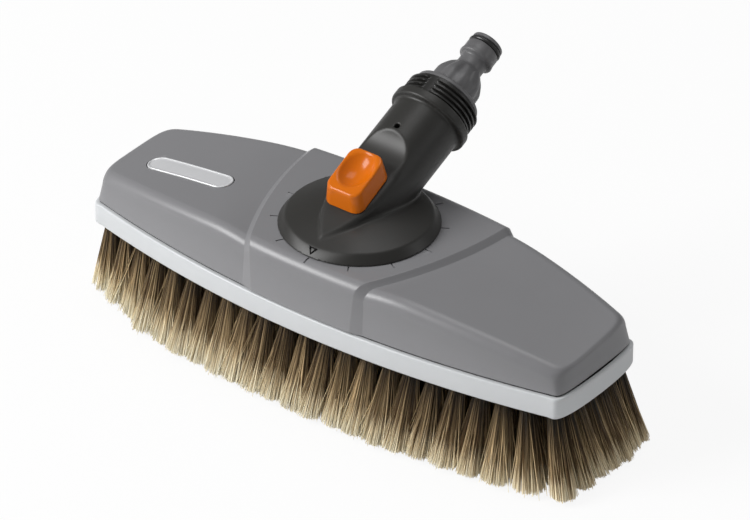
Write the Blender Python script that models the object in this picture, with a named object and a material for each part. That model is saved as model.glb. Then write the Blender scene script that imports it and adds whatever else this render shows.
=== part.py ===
"""A hand brush for washing cars: a swivelling hose stem on a crowned head with natural bristles.

The head is a curved bristle plate under a hollow grey cover. A dark disc with a leaning stem turns on
the cover, and an orange thumb slide on the stem pulls a bolt out of a notched ring to free it. Water
enters at the hose nipple and runs through the stem, the swivel and the cover to the bristle plate.

Metres, +Z up. The origin lies on the ground under the middle of the brush's outer box, X runs along
the bristle plate and the stem leans towards +Y.
"""

import math
import random

import bmesh
import bpy
from mathutils import Matrix, Vector

MM = 0.001
GAP = 0.3 * MM  # air left between two pieces that touch
OVERRUN = 1.5 * MM  # how far a cutter runs past what it cuts
FINE = 0.001 * MM  # points closer than this are one point

# Bristle plate
PLATE_LENGTH = 261.4 * MM
PLATE_WIDTH = 87.0 * MM
PLATE_END_WIDTH = 54.4 * MM
PLATE_HEIGHT = 10.4 * MM
PLATE_CORNER = 8.0 * MM
PLATE_END_BULGE = 1.7 * MM
PLATE_EDGE = 0.8 * MM
WELL_DEPTH = 2.3 * MM
WELL_WALL = 2.6 * MM
OUTLET_RADIUS = 1.3 * MM
OUTLET_SPACING = 15.0 * MM

# Bristles
BRISTLE_LENGTH = 37.0 * MM
BRISTLE_FLARE = 9.8 * MM
BRISTLE_LEFT_FLARE = 8.0 * MM
BRISTLE_RIGHT_FLARE = 14.0 * MM
BRISTLE_UNEVEN = 2.6 * MM
STANDING_CUT = 0.5 * MM
BACKING_HEIGHT = 2.0 * MM
BACKING_SEAM = 3.0 * MM
BACKING_SLICES = ("left_end", "left", "middle", "right", "right_end")
TUFT_COLUMNS = 21
TUFT_ROWS = 6
TUFT_INSET = 6.8 * MM
TUFT_RADIUS = 2.2 * MM
TUFT_TIP_RADIUS = 2.9 * MM
STRAND_RADIUS = 1.5 * MM
STRAND_TIP_RADIUS = 1.2 * MM
STRANDS_PER_TUFT = 3
STRAND_STRAY = 0.5 * MM

# Cover
COVER_LEDGE = 1.45 * MM
COVER_WALL = 2.5 * MM
COVER_DRAFT = 1.4 * MM
COVER_SHOULDER = 4.4 * MM
COVER_CROWN = 25.2 * MM
COVER_CROWN_FALL = 13.2 * MM
COVER_CREASE = 5.0 * MM
DECK_RISE = 1.3 * MM
DECK_PROUD = 0.9 * MM
STEP_WIDTH = 2.6 * MM
STEP_REACH = 54.8 * MM
STEP_ARC = 159.0 * MM
STEP_MIDDLE = 47.2 * MM
COLLAR_WALL = 3.2 * MM
COLLAR_DEPTH = 14.0 * MM
LIP_HEIGHT = 4.0 * MM
SEAL_WIDTH = 1.5 * MM
SEAL_HEIGHT = 1.4 * MM

# Badge, left without marks
BADGE_LENGTH = 46.0 * MM
BADGE_WIDTH = 9.6 * MM
BADGE_HEIGHT = 1.0 * MM
BADGE_SUNK = 0.2 * MM
PILL_STEPS = 12
BADGE_FROM_END = 41.7 * MM
BADGE_Y = -5.0 * MM

# Plate screws
SCREW_RADIUS = 1.5 * MM
SCREW_HEAD_RADIUS = 3.0 * MM
SCREW_HEAD_HEIGHT = 2.0 * MM
SCREW_BITE = 6.0 * MM
BOSS_WALL = 2.2 * MM
INNER_SCREW_X = 54.0 * MM
INNER_SCREW_Y = 27.0 * MM
OUTER_SCREW_X = 101.5 * MM

# Swivel
SPIGOT_RADIUS = 13.0 * MM
SPIGOT_REACH = 19.0 * MM
BUSH_WALL = 2.2 * MM
THRUST_HEIGHT = 1.0 * MM
BASE_RADIUS = 19.0 * MM
BASE_HEIGHT = 2.6 * MM
O_RING_RADIUS = 1.0 * MM
WASHER_RADIUS = 18.0 * MM
WASHER_HEIGHT = 1.2 * MM
CLIP_HEIGHT = 1.0 * MM
CLIP_RADIUS = 15.5 * MM
CLIP_BITE = 1.4 * MM
RING_RADIUS = 27.5 * MM
RING_TOOTH_RADIUS = 22.2 * MM
RING_NOTCH_DEPTH = 3.2 * MM
RING_HEIGHT = 3.5 * MM
RING_NOTCHES = 12
BASE_SCREW_RADIUS = 1.1 * MM
BASE_SCREW_HEAD_RADIUS = 2.1 * MM
BASE_SCREW_HEAD_HEIGHT = 1.2 * MM
BASE_SCREW_BITE = 2.6 * MM
BASE_SCREW_X = 13.6 * MM
BASE_SCREW_Y = 8.0 * MM

# Stem housing
DISC_RADIUS = 35.9 * MM
DISC_TOP_RADIUS = 32.6 * MM
DISC_RIM = 4.4 * MM
DISC_WALL = 2.3 * MM
DOME_RISE = 6.3 * MM
STEM_ANGLE = math.radians(22.4)
STEM_AXIS_HEIGHT = 7.4 * MM
STEM_RADIUS = 16.5 * MM
STEM_WALL = 2.5 * MM
STEM_NOSE = 14.5 * MM
FLANGE_START = 52.0 * MM
FLANGE_WIDTH = 4.5 * MM
FLANGE_RADIUS = 18.9 * MM
FLANGE_EDGE = 0.7 * MM
THREAD_LENGTH = 10.0 * MM
THREAD_RADIUS = 17.5 * MM
THREAD_DEPTH = 1.4 * MM
THREAD_TURNS = 4
THREAD_GAP = 4.6 * MM
POCKET_FLOOR = 10.5 * MM
POCKET_FLOOR_WALL = 3.0 * MM
POCKET_NOSE = 28.0 * MM
POCKET_FLAT_END = 20.0 * MM
POCKET_END = 33.0 * MM
CHAMBER_END = 20.0 * MM
BULKHEAD = 3.0 * MM
VENT_RADIUS = 1.4 * MM
VENT_PLACE = 35.7 * MM

# Release slide
BUTTON_LENGTH = 24.7 * MM
BUTTON_WIDTH = 20.6 * MM
BUTTON_TOP = 19.4 * MM
BUTTON_REAR_TOP = 20.8 * MM
BUTTON_LEAN = 2.1 * MM
BUTTON_BACK = 14.8 * MM
BUTTON_CORNER = 4.0 * MM
BUTTON_EDGE = 0.9 * MM
BUTTON_SIDE_TAPER = 1.3 * MM
BUTTON_END_TAPER = 0.7 * MM
DISH_RADIUS = 20.0 * MM
DISH_DEPTH = 2.4 * MM
BUTTON_TRAVEL = 5.0 * MM
BOLT_HEIGHT = 2.2 * MM
BOLT_HALF_WIDTH = 3.0 * MM
BOLT_YOKE_BACK = 6.0 * MM
BOLT_YOKE_LENGTH = 3.6 * MM
BOLT_YOKE_HALF_WIDTH = 9.6 * MM
BOLT_YOKE_DROP = 1.9 * MM
PEG_HALF_WIDTH = 2.2 * MM
PEG_HALF_LENGTH = 4.0 * MM
PEG_REACH = 3.0 * MM
SPRING_RADIUS = 1.5 * MM
SPRING_WIRE = 0.25 * MM
SPRING_TURNS = 6
SPRING_X = 7.4 * MM

# Water way
TUBE_RADIUS = 4.5 * MM
TUBE_BORE = 3.0 * MM
TUBE_BEND = 5.2 * MM
TUBE_SEAT = 6.0 * MM

# Hose nipple
NIPPLE_FLANGE_RADIUS = 15.8 * MM
NIPPLE_FLANGE = 2.0 * MM
NIPPLE_PLUG = 6.0 * MM
NIPPLE_SLEEVE = 8.0 * MM
NIPPLE_LENGTH = 34.0 * MM
NIPPLE_BORE = 4.6 * MM
NIPPLE_BASE_RADIUS = 11.7 * MM
NIPPLE_SHOULDER_RADIUS = 10.6 * MM
NIPPLE_WAIST_RADIUS = 8.1 * MM
NIPPLE_NECK_RADIUS = 6.3 * MM
NIPPLE_BARB_RADIUS = 8.2 * MM
NIPPLE_BARREL_RADIUS = 7.9 * MM
NIPPLE_TIP_RADIUS = 7.6 * MM
NIPPLE_RING_WIDTH = 2.6 * MM
NIPPLE_RING_DEPTH = 1.9 * MM
NIPPLE_RING_PLACE = 1.8 * MM
NIPPLE_EDGE = 0.6 * MM
NIPPLE_BASE_END = 9.6 * MM
NIPPLE_SHOULDER_END = 12.2 * MM
NIPPLE_CONE_END = 16.0 * MM
NIPPLE_NECK_START = 17.4 * MM
NIPPLE_NECK_END = 22.4 * MM
NIPPLE_BARB_END = 25.4 * MM

# Shares of the sizes they follow
END_SHARES = (-1, -0.97, -0.9, -0.76, -0.4, 0, 0.4, 0.76, 0.9, 0.97, 1)
DECK_SHARES = (0.2, 0.6, 1)
TAIL_SHARES = (0, 0.34, 0.67, 1)
CORNER_POWER = 5
DOME_SHARES = (0.86, 0.68, 0.45, 0.2, 0)
HOLLOW_SHARES = (0.84, 0.6, 0.3, 0)
CREST_START_SHARE = 0.35
CREST_END_SHARE = 0.6
THREAD_END_SHARE = 0.9

# Levels, worked up from the ground
PLATE_BOTTOM = BRISTLE_LENGTH
PLATE_TOP = PLATE_BOTTOM + PLATE_HEIGHT
COVER_FOOT = PLATE_TOP + GAP
CROWN_TOP = PLATE_TOP + COVER_CROWN
STEP_FALL = COVER_CROWN_FALL * (STEP_REACH / (PLATE_LENGTH / 2)) ** 2
DECK_TOP = CROWN_TOP + DECK_RISE - STEP_FALL / 2
BUSH_RADIUS = SPIGOT_RADIUS + GAP + BUSH_WALL
BASE_BOTTOM = GAP + THRUST_HEIGHT + GAP
BASE_TOP = BASE_BOTTOM + BASE_HEIGHT
FLANGE_END = FLANGE_START + FLANGE_WIDTH
STEM_END = FLANGE_END + THREAD_LENGTH
BOLT_TOP = POCKET_FLOOR - POCKET_FLOOR_WALL - GAP
BOLT_BOTTOM = BOLT_TOP - BOLT_HEIGHT
NOTCH_RADIUS = RING_TOOTH_RADIUS + RING_NOTCH_DEPTH
NOTCH_REACH = math.sqrt((NOTCH_RADIUS - GAP) ** 2 - BOLT_HALF_WIDTH**2) - GAP
BOLT_NOSE = (NOTCH_REACH - BOLT_TOP * math.sin(STEM_ANGLE)) / math.cos(STEM_ANGLE)
NIPPLE_START = STEM_END + GAP
NIPPLE_END = NIPPLE_START + NIPPLE_LENGTH
BADGE_X = BADGE_FROM_END - PLATE_LENGTH / 2

# The swivel's place sets the origin under the middle of the brush's outer box
END_TUFT_X = PLATE_LENGTH / 2 - TUFT_INSET - TUFT_RADIUS - STRAND_RADIUS
SWIVEL_X = (BRISTLE_LEFT_FLARE - BRISTLE_RIGHT_FLARE) / 2
FRONT_REACH = PLATE_WIDTH / 2 - TUFT_INSET + BRISTLE_FLARE + TUFT_TIP_RADIUS + STRAND_TIP_RADIUS
BACK_REACH = NIPPLE_END * math.cos(STEM_ANGLE) + NIPPLE_TIP_RADIUS * math.sin(STEM_ANGLE)
SWIVEL_Y = (FRONT_REACH - BACK_REACH) / 2


def clear_scene():
    """Take out whatever the file held before."""
    for item in list(bpy.data.objects):
        bpy.data.objects.remove(item)


def make_material(name, colour, roughness, metallic=0.0):
    """A plain surface for one sub-part."""
    material = bpy.data.materials.new(name)
    material.use_nodes = True
    surface = material.node_tree.nodes["Principled BSDF"]
    surface.inputs["Base Color"].default_value = (*colour, 1)
    surface.inputs["Roughness"].default_value = roughness
    surface.inputs["Metallic"].default_value = metallic
    return material


def add_piece(name, shape, parent, material, smooth=40):
    """Turn a bmesh into a named object under its parent."""
    bmesh.ops.recalc_face_normals(shape, faces=shape.faces)
    mesh = bpy.data.meshes.new(name)
    shape.to_mesh(mesh)
    shape.free()
    mesh.shade_smooth()
    mesh.set_sharp_from_angle(angle=math.radians(smooth))
    piece = bpy.data.objects.new(name, mesh)
    bpy.context.scene.collection.objects.link(piece)
    piece.parent = parent
    mesh.materials.append(material)
    return piece


def add_cutter(name, shape, parent):
    """Turn a bmesh into a hidden guide object for a Boolean."""
    piece = add_piece(name, shape, parent, None)
    piece.hide_render = True
    piece.display_type = "WIRE"
    return piece


def combine(piece, other, operation):
    """Join, cut or trim a piece with another object."""
    boolean = piece.modifiers.new(other.name, "BOOLEAN")
    boolean.operation = operation
    boolean.object = other
    boolean.solver = "EXACT"


def cut(piece, name, shape, parent):
    """Cut a shape out of a piece."""
    combine(piece, add_cutter(name, shape, parent), "DIFFERENCE")


def join(piece, name, shape, parent):
    """Grow a shape onto a piece."""
    combine(piece, add_cutter(name, shape, parent), "UNION")


def add_empty(name, place, parent=None, lean=0.0):
    """A frame for the pieces of one body."""
    empty = bpy.data.objects.new(name, None)
    bpy.context.scene.collection.objects.link(empty)
    empty.location = place
    empty.rotation_euler.x = lean
    empty.parent = parent
    return empty


def turned(profile, segments, ring=False):
    """Spin a profile of (radius, height) points about Z. A ring's profile closes on itself."""
    shape = bmesh.new()
    points = [shape.verts.new((radius, 0, height)) for radius, height in profile]
    for start, end in zip(points, points[1:]):
        shape.edges.new((start, end))
    if ring:
        shape.edges.new((points[-1], points[0]))
    bmesh.ops.spin(
        shape,
        geom=shape.verts[:] + shape.edges[:],
        axis=(0, 0, 1),
        cent=(0, 0, 0),
        steps=segments,
        angle=math.tau,
        use_merge=True,
        use_duplicate=False,
    )
    bmesh.ops.remove_doubles(shape, verts=shape.verts, dist=FINE)
    return shape


def disc_column(radius, bottom, top, segments, centre=(0, 0)):
    """A plain round bar along Z."""
    shape = turned([(0, bottom), (radius, bottom), (radius, top), (0, top)], segments)
    bmesh.ops.translate(shape, vec=(*centre, 0), verts=shape.verts)
    return shape


def flat_ring(inner, outer, bottom, top, segments):
    """A washer shape."""
    profile = [(inner, bottom), (outer, bottom), (outer, top), (inner, top)]
    return turned(profile, segments, ring=True)


def cord_ring(radius, cord, height, segments, sides):
    """A round rubber ring."""
    profile = []
    for side in range(sides):
        angle = math.tau * side / sides
        profile.append((radius + cord * math.cos(angle), height + cord * math.sin(angle)))
    return turned(profile, segments, ring=True)


def extruded(outline, direction):
    """A prism: a flat outline of points pushed along a direction."""
    shape = bmesh.new()
    face = shape.faces.new([shape.verts.new(point) for point in outline])
    pushed = bmesh.ops.extrude_face_region(shape, geom=[face])
    moved = [item for item in pushed["geom"] if isinstance(item, bmesh.types.BMVert)]
    bmesh.ops.translate(shape, vec=direction, verts=moved)
    return shape


def block(low, high):
    """A box between two corners."""
    shape = bmesh.new()
    bmesh.ops.create_cube(shape, size=1)
    low, high = Vector(low), Vector(high)
    bmesh.ops.scale(shape, vec=high - low, verts=shape.verts)
    bmesh.ops.translate(shape, vec=(low + high) / 2, verts=shape.verts)
    return shape


def merged(shapes):
    """Several shapes that stay apart, in one bmesh."""
    whole = bmesh.new()
    for shape in shapes:
        copy = bpy.data.meshes.new("copy")
        shape.to_mesh(copy)
        shape.free()
        whole.from_mesh(copy)
        bpy.data.meshes.remove(copy)
    return whole


def lofted(rings):
    """A closed body through rings of equal point counts, with flat ends."""
    shape = bmesh.new()
    loops = [[shape.verts.new(point) for point in ring] for ring in rings]
    for lower, upper in zip(loops, loops[1:]):
        for index in range(len(lower)):
            after = (index + 1) % len(lower)
            shape.faces.new((lower[index], lower[after], upper[after], upper[index]))
    shape.faces.new(loops[0])
    shape.faces.new(loops[-1])
    return shape


def half_width(x, inset):
    """Half the head's width at x, where the long side is one shallow arc moved in by the inset."""
    rise = (PLATE_WIDTH - PLATE_END_WIDTH) / 2
    radius = ((PLATE_LENGTH / 2) ** 2 + rise**2) / (2 * rise)
    return PLATE_WIDTH / 2 - radius + math.sqrt((radius - inset) ** 2 - x**2)


def end_swell(share):
    """How far the rounded end stands out, as a share of its reach, at a share of its half width."""
    return (1 - abs(share) ** CORNER_POWER) ** (1 / CORNER_POWER)


def plate_end(inset):
    """The right end of the plate's outline, front to back, without its two corner points."""
    corner_x = PLATE_LENGTH / 2 - PLATE_CORNER
    width = half_width(corner_x, inset)
    flat = PLATE_CORNER - PLATE_END_BULGE - inset
    points = []
    for share in END_SHARES[1:-1]:
        reach = flat * end_swell(share) + PLATE_END_BULGE * (1 - share**2)
        points.append((corner_x + reach, share * width))
    return points


def plate_outline(inset, height, steps=14):
    """The plate's outline moved in by an inset, counter-clockwise, at a height."""
    corner_x = PLATE_LENGTH / 2 - PLATE_CORNER
    stations = [corner_x * (2 * step / steps - 1) for step in range(steps + 1)]
    front = [(x, -half_width(x, inset)) for x in stations]
    back = [(x, half_width(x, inset)) for x in reversed(stations)]
    right = plate_end(inset)
    left = [(-x, -y) for x, y in right]
    return [Vector((x, y, height)) for x, y in front + right + back + left]


def step_line(y):
    """Distance from the middle to the step round the raised deck. It draws in towards the front."""
    return STEP_REACH - (STEP_MIDDLE - y) ** 2 / (2 * STEP_ARC)


def cover_columns():
    """The cover's columns from left to right, as (side, on the deck, share)."""
    tail = [(False, share) for share in TAIL_SHARES]
    deck = [(True, share) for share in DECK_SHARES]
    right = [(1, *column) for column in deck + tail]
    left = [(-1, *column) for column in reversed(deck + tail)]
    return left + right


def column_x(column, y, margin):
    """Where a column crosses y."""
    side, on_deck, share = column
    line = step_line(y)
    crease = PLATE_LENGTH / 2 - COVER_CREASE - margin
    if on_deck:
        return side * share * (line - STEP_WIDTH / 2)
    start = line + STEP_WIDTH / 2
    return side * (start + share * (crease - start))


def crown_height(x, on_deck, margin):
    """Height of the cover's top at x: a crowned shell with a level raised deck."""
    if on_deck:
        return DECK_TOP - margin
    fall = COVER_CROWN_FALL * (x / (PLATE_LENGTH / 2)) ** 2
    return CROWN_TOP - fall - margin


def cover_levels(margin):
    """The wall and shoulder of the cover as (inset, fall below the top), None for the foot."""
    radius = COVER_SHOULDER
    levels = [(margin, None)]
    for angle in (0, 45, 90):
        turn = math.radians(angle)
        inset = margin + COVER_DRAFT + radius * (1 - math.cos(turn))
        levels.append((inset, radius * (1 - math.sin(turn))))
    return levels


def cover_point(column, share, level, margin, foot):
    """A point of the cover, on a column, at a share of the half width, on a wall level."""
    inset, fall = level
    proud = DECK_PROUD if column[1] else 0
    x = column_x(column, 0, margin)
    for _ in range(6):
        y = share * half_width(x, COVER_LEDGE + inset - proud)
        x = column_x(column, y, margin)
    if fall is None:
        return Vector((x, y, foot))
    return Vector((x, y, crown_height(x, column[1], margin) - fall))


def cover_end_point(side, share, level, margin, foot):
    """A point of the cover's leaning end, where the foot stands out furthest."""
    crease_column = (side, False, 1)
    base = cover_point(crease_column, side * share, level, margin, foot)
    top = crown_height(base.x, False, margin)
    reach = (COVER_CREASE - COVER_LEDGE) * (top - base.z) / (top - COVER_FOOT)
    bulge = end_swell(share) * (1 - PLATE_END_BULGE / PLATE_CORNER * share**2)
    return base + Vector((side * reach * bulge, 0, 0))


def cover_shape(margin, foot):
    """The cover's outer form, or its hollow when the margin is the wall."""
    shape = bmesh.new()
    columns = cover_columns()
    ends = END_SHARES[1:-1]
    levels = cover_levels(margin)
    loops = []
    for level in levels:
        front = [cover_point(column, -1, level, margin, foot) for column in columns]
        right = [cover_end_point(1, share, level, margin, foot) for share in ends]
        back = [cover_point(column, 1, level, margin, foot) for column in reversed(columns)]
        left = [cover_end_point(-1, share, level, margin, foot) for share in ends]
        loops.append([shape.verts.new(point) for point in front + right + back + left])
    for lower, upper in zip(loops, loops[1:]):
        for index in range(len(lower)):
            after = (index + 1) % len(lower)
            shape.faces.new((lower[index], lower[after], upper[after], upper[index]))
    shape.faces.new(loops[0])

    edge = loops[-1]
    count, rows = len(columns), len(ends)
    right_start = count
    back_start = count + rows
    left_start = 2 * count + rows
    grid = []
    for number, column in enumerate(columns):
        line = [edge[number]]
        if number == 0:
            line += [edge[left_start + rows - 1 - row] for row in range(rows)]
        elif number == count - 1:
            line += [edge[right_start + row] for row in range(rows)]
        else:
            for share in ends:
                place = cover_point(column, share, levels[-1], margin, foot)
                line.append(shape.verts.new(place))
        line.append(edge[back_start + count - 1 - number])
        grid.append(line)
    for here, beside in zip(grid, grid[1:]):
        for row in range(len(here) - 1):
            shape.faces.new((here[row], beside[row], beside[row + 1], here[row + 1]))
    return shape


def screw_places():
    """Where the six plate screws stand, as (x, y)."""
    places = [(side * OUTER_SCREW_X, 0) for side in (-1, 1)]
    for side in (-1, 1):
        places += [(side * INNER_SCREW_X, across * INNER_SCREW_Y) for across in (-1, 1)]
    return places


def make_top_cover(head):
    """The grey moulded shell with its raised deck, swivel collar, screw bosses and badge recess."""
    grey = make_material("top_cover", (0.216, 0.216, 0.226), 0.42)
    cover = add_piece("top_cover", cover_shape(0, COVER_FOOT), head, grey, smooth=24)
    cut(cover, "cover_hollow", cover_shape(COVER_WALL, COVER_FOOT - OVERRUN), head)

    roof = DECK_TOP - COVER_WALL / 2
    collar_radius = BUSH_RADIUS + GAP + COLLAR_WALL
    collar = disc_column(collar_radius, DECK_TOP - COLLAR_DEPTH, roof, 24)
    bosses = [collar]
    for x, y in screw_places():
        ceiling = crown_height(x, False, COVER_WALL / 2)
        boss_radius = SCREW_RADIUS + GAP + BOSS_WALL
        bosses.append(disc_column(boss_radius, COVER_FOOT, ceiling, 10, (x, y)))
    join(cover, "cover_bosses", merged(bosses), head)

    lip = DECK_TOP - COLLAR_DEPTH + LIP_HEIGHT
    holes = [
        turned(
            [
                (0, DECK_TOP - COLLAR_DEPTH - OVERRUN),
                (SPIGOT_RADIUS + 2 * GAP, DECK_TOP - COLLAR_DEPTH - OVERRUN),
                (SPIGOT_RADIUS + 2 * GAP, lip),
                (BUSH_RADIUS + GAP, lip),
                (BUSH_RADIUS + GAP, DECK_TOP + OVERRUN),
                (0, DECK_TOP + OVERRUN),
            ],
            24,
        )
    ]
    for x, y in screw_places():
        depth = PLATE_TOP + SCREW_BITE + 2 * GAP
        holes.append(disc_column(SCREW_RADIUS + GAP, COVER_FOOT - OVERRUN, depth, 8, (x, y)))
    cut(cover, "cover_holes", merged(holes), head)

    recess = pill(BADGE_LENGTH / 2 + GAP, BADGE_WIDTH / 2 + GAP, -BADGE_HEIGHT - GAP, OVERRUN)
    recess_piece = add_cutter("badge_recess", recess, head)
    place_badge(recess_piece)
    combine(cover, recess_piece, "DIFFERENCE")
    return cover


def pill(half_length, half_width, bottom, top):
    """A flat plate with straight sides and half-round ends."""
    outline = []
    for side, start in ((1, -math.pi / 2), (-1, math.pi / 2)):
        for step in range(PILL_STEPS + 1):
            angle = start + math.pi * step / PILL_STEPS
            x = side * (half_length - half_width) + half_width * math.cos(angle)
            outline.append((x, half_width * math.sin(angle), bottom))
    return extruded(outline, (0, 0, top - bottom))


def place_badge(piece):
    """Lay a piece on the cover where the badge sits, tilted with the crown."""
    slope = 2 * COVER_CROWN_FALL * BADGE_X / (PLATE_LENGTH / 2) ** 2
    height = crown_height(BADGE_X, False, 0) - BADGE_SUNK
    piece.location = (BADGE_X, BADGE_Y, height)
    piece.rotation_euler.y = math.atan(slope)


def make_badge(head):
    """The bare silver plate let into the cover."""
    silver = make_material("badge", (0.66, 0.67, 0.69), 0.28, 0.85)
    badge = pill(BADGE_LENGTH / 2, BADGE_WIDTH / 2, -BADGE_HEIGHT, 0)
    place_badge(add_piece("badge", badge, head, silver))


def first_column(number):
    """The first column of tufts on a slice of the backing."""
    return round(TUFT_COLUMNS * number / len(BACKING_SLICES))


def seam_places():
    """Where one bristle backing ends and the next begins, along X."""
    columns = tuft_stations()
    seams = []
    for number in range(1, len(BACKING_SLICES)):
        after = first_column(number)
        seams.append((columns[after - 1] + columns[after]) / 2)
    return seams


def make_bristle_plate(head):
    """The pale plate: a well for the bristles below, a seal groove above, screw and water holes."""
    pale = make_material("bristle_plate", (0.72, 0.74, 0.76), 0.38)
    rings = [
        plate_outline(PLATE_EDGE / 2, PLATE_BOTTOM),
        plate_outline(0, PLATE_BOTTOM + PLATE_EDGE),
        plate_outline(0, PLATE_TOP - PLATE_EDGE),
        plate_outline(PLATE_EDGE, PLATE_TOP),
    ]
    plate = add_piece("bristle_plate", lofted(rings), head, pale)

    well_top = PLATE_BOTTOM + WELL_DEPTH
    well = [plate_outline(WELL_WALL, height) for height in (PLATE_BOTTOM - OVERRUN, well_top)]
    cut(plate, "bristle_well", lofted(well), head)

    groove = seal_ring(SEAL_WIDTH + 2 * GAP, PLATE_TOP - SEAL_HEIGHT - GAP, PLATE_TOP + OVERRUN)
    cut(plate, "seal_groove", groove, head)

    holes = []
    for x, y in screw_places():
        head_top = well_top + SCREW_HEAD_HEIGHT + GAP
        bottom = PLATE_BOTTOM + WELL_DEPTH / 2
        head_radius = SCREW_HEAD_RADIUS + GAP
        shank_radius = SCREW_RADIUS + GAP
        top = PLATE_TOP + OVERRUN
        profile = [(0, bottom), (head_radius, bottom), (head_radius, head_top)]
        profile += [(shank_radius, head_top), (shank_radius, top), (0, top)]
        hole = turned(profile, 8)
        bmesh.ops.translate(hole, vec=(x, y, 0), verts=hole.verts)
        holes.append(hole)
    for x in seam_places():
        for across in (-1, 0, 1):
            centre = (x, across * OUTLET_SPACING)
            outlet = disc_column(
                OUTLET_RADIUS, PLATE_BOTTOM + WELL_DEPTH / 2, PLATE_TOP + OVERRUN, 6, centre
            )
            holes.append(outlet)
    cut(plate, "plate_holes", merged(holes), head)


def seal_ring(width, bottom, top):
    """A frame that follows the cover's wall, centred on it, with a hole through its middle."""
    middle = COVER_LEDGE + COVER_WALL / 2
    loops = []
    shape = bmesh.new()
    for inset, height in (
        (middle - width / 2, bottom),
        (middle - width / 2, top),
        (middle + width / 2, top),
        (middle + width / 2, bottom),
    ):
        outline = plate_outline(inset, height)
        loops.append([shape.verts.new(point) for point in outline])
    for lower, upper in zip(loops, loops[1:] + loops[:1]):
        for index in range(len(lower)):
            after = (index + 1) % len(lower)
            shape.faces.new((lower[index], lower[after], upper[after], upper[index]))
    return shape


def make_cover_seal(head):
    """The rubber frame that keeps water in between the plate and the cover."""
    rubber = make_material("cover_seal", (0.02, 0.02, 0.02), 0.7)
    seal = seal_ring(SEAL_WIDTH, PLATE_TOP - SEAL_HEIGHT, PLATE_TOP)
    add_piece("cover_seal", seal, head, rubber)


def make_screw(name, parent, place, sizes, steel):
    """A pan-head screw that points up from the place of its head's underside face."""
    radius, head_radius, head_height, length = sizes
    profile = [(0, 0), (head_radius, 0), (head_radius, head_height)]
    profile += [(radius, head_height), (radius, length - radius), (0, length)]
    screw = add_piece(name, turned(profile, 8), parent, steel)
    screw.location = place


def make_plate_screws(head):
    """Six screws hold the plate to the cover's bosses."""
    steel = make_material("plate_screws", (0.62, 0.62, 0.63), 0.3, 1.0)
    bottom = PLATE_BOTTOM + WELL_DEPTH
    length = PLATE_TOP + SCREW_BITE - bottom
    sizes = (SCREW_RADIUS, SCREW_HEAD_RADIUS, SCREW_HEAD_HEIGHT, length)
    for number, (x, y) in enumerate(screw_places(), 1):
        make_screw(f"plate_screw_{number}", head, (x, y, bottom), sizes, steel)


def tuft_stations():
    """X of each column of tufts."""
    return [END_TUFT_X * (2 * n / (TUFT_COLUMNS - 1) - 1) for n in range(TUFT_COLUMNS)]


def strand(root, tip, turn):
    """One three-sided wisp of bristle from its root to its tip, which is cut level."""
    rings = []
    for place, radius in ((root, STRAND_RADIUS), (tip, STRAND_TIP_RADIUS)):
        ring = []
        for side in range(3):
            angle = turn + math.tau * side / 3
            ring.append(place + radius * Vector((math.cos(angle), math.sin(angle), 0)))
        rings.append(ring)
    return lofted(rings)


def tuft(x, y, chance):
    """The strands of one tuft. They fan out from their hole and lean away from the plate's middle."""
    width = half_width(x, TUFT_INSET)
    end_flare = BRISTLE_RIGHT_FLARE if x > 0 else BRISTLE_LEFT_FLARE
    lean_x = end_flare * (x / END_TUFT_X) ** 3
    lean_y = BRISTLE_FLARE * y / width
    start = chance.uniform(0, math.tau)
    strands = []
    for number in range(STRANDS_PER_TUFT):
        turn = start + math.tau * number / STRANDS_PER_TUFT
        out = Vector((math.cos(turn), math.sin(turn), 0))
        root = Vector((x, y, PLATE_BOTTOM + BACKING_HEIGHT / 2)) + out * TUFT_RADIUS
        stray = Vector((chance.uniform(-1, 1), chance.uniform(-1, 1), 0)) * STRAND_STRAY
        tip_height = max(0, chance.uniform(-STANDING_CUT, BRISTLE_UNEVEN))
        tip = Vector((x + lean_x, y + lean_y, tip_height)) + out * TUFT_TIP_RADIUS + stray
        strands.append(strand(root, tip, turn))
    return strands


def backing_slice(left, right, first, last):
    """A slice of the bristle backing between two seams, round where it closes the plate's end."""
    inset = WELL_WALL + GAP
    corner_x = PLATE_LENGTH / 2 - PLATE_CORNER
    low = -corner_x if first else left + BACKING_SEAM / 2
    high = corner_x if last else right - BACKING_SEAM / 2
    steps = 4
    stations = [low + (high - low) * step / steps for step in range(steps + 1)]
    outline = [(x, -half_width(x, inset)) for x in stations]
    if last:
        outline += plate_end(inset)
    outline += [(x, half_width(x, inset)) for x in reversed(stations)]
    if first:
        outline += [(-x, -y) for x, y in plate_end(inset)]
    base = [Vector((x, y, PLATE_BOTTOM)) for x, y in outline]
    return extruded(base, (0, 0, BACKING_HEIGHT))


def make_bristles(head):
    """Five slices of backing, each grown together with its own tufts."""
    hair = make_material("bristles", (0.25, 0.17, 0.085), 0.75)
    chance = random.Random(7)
    columns = tuft_stations()
    edges = [-PLATE_LENGTH / 2, *seam_places(), PLATE_LENGTH / 2]
    count = 0
    for number, name in enumerate(BACKING_SLICES):
        first, last = number == 0, number == len(BACKING_SLICES) - 1
        backing = backing_slice(edges[number], edges[number + 1], first, last)
        piece = add_piece(f"bristles_{name}", backing, head, hair, smooth=20)
        strands = []
        for x in columns[first_column(number):first_column(number + 1)]:
            for row in range(TUFT_ROWS):
                share = 2 * row / (TUFT_ROWS - 1) - 1
                strands += tuft(x, share * half_width(x, TUFT_INSET), chance)
        count += len(strands)
        join(piece, f"strands_{name}", merged(strands), head)
    print("bristle strands:", count)


def make_swivel_bush(head):
    """The plain bearing in the cover's collar."""
    white = make_material("swivel_bush", (0.8, 0.8, 0.78), 0.4)
    bottom = -COLLAR_DEPTH + LIP_HEIGHT + GAP
    bush = flat_ring(SPIGOT_RADIUS + GAP, BUSH_RADIUS, bottom, 0, 24)
    add_piece("swivel_bush", bush, head, white).location.z = DECK_TOP


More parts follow.
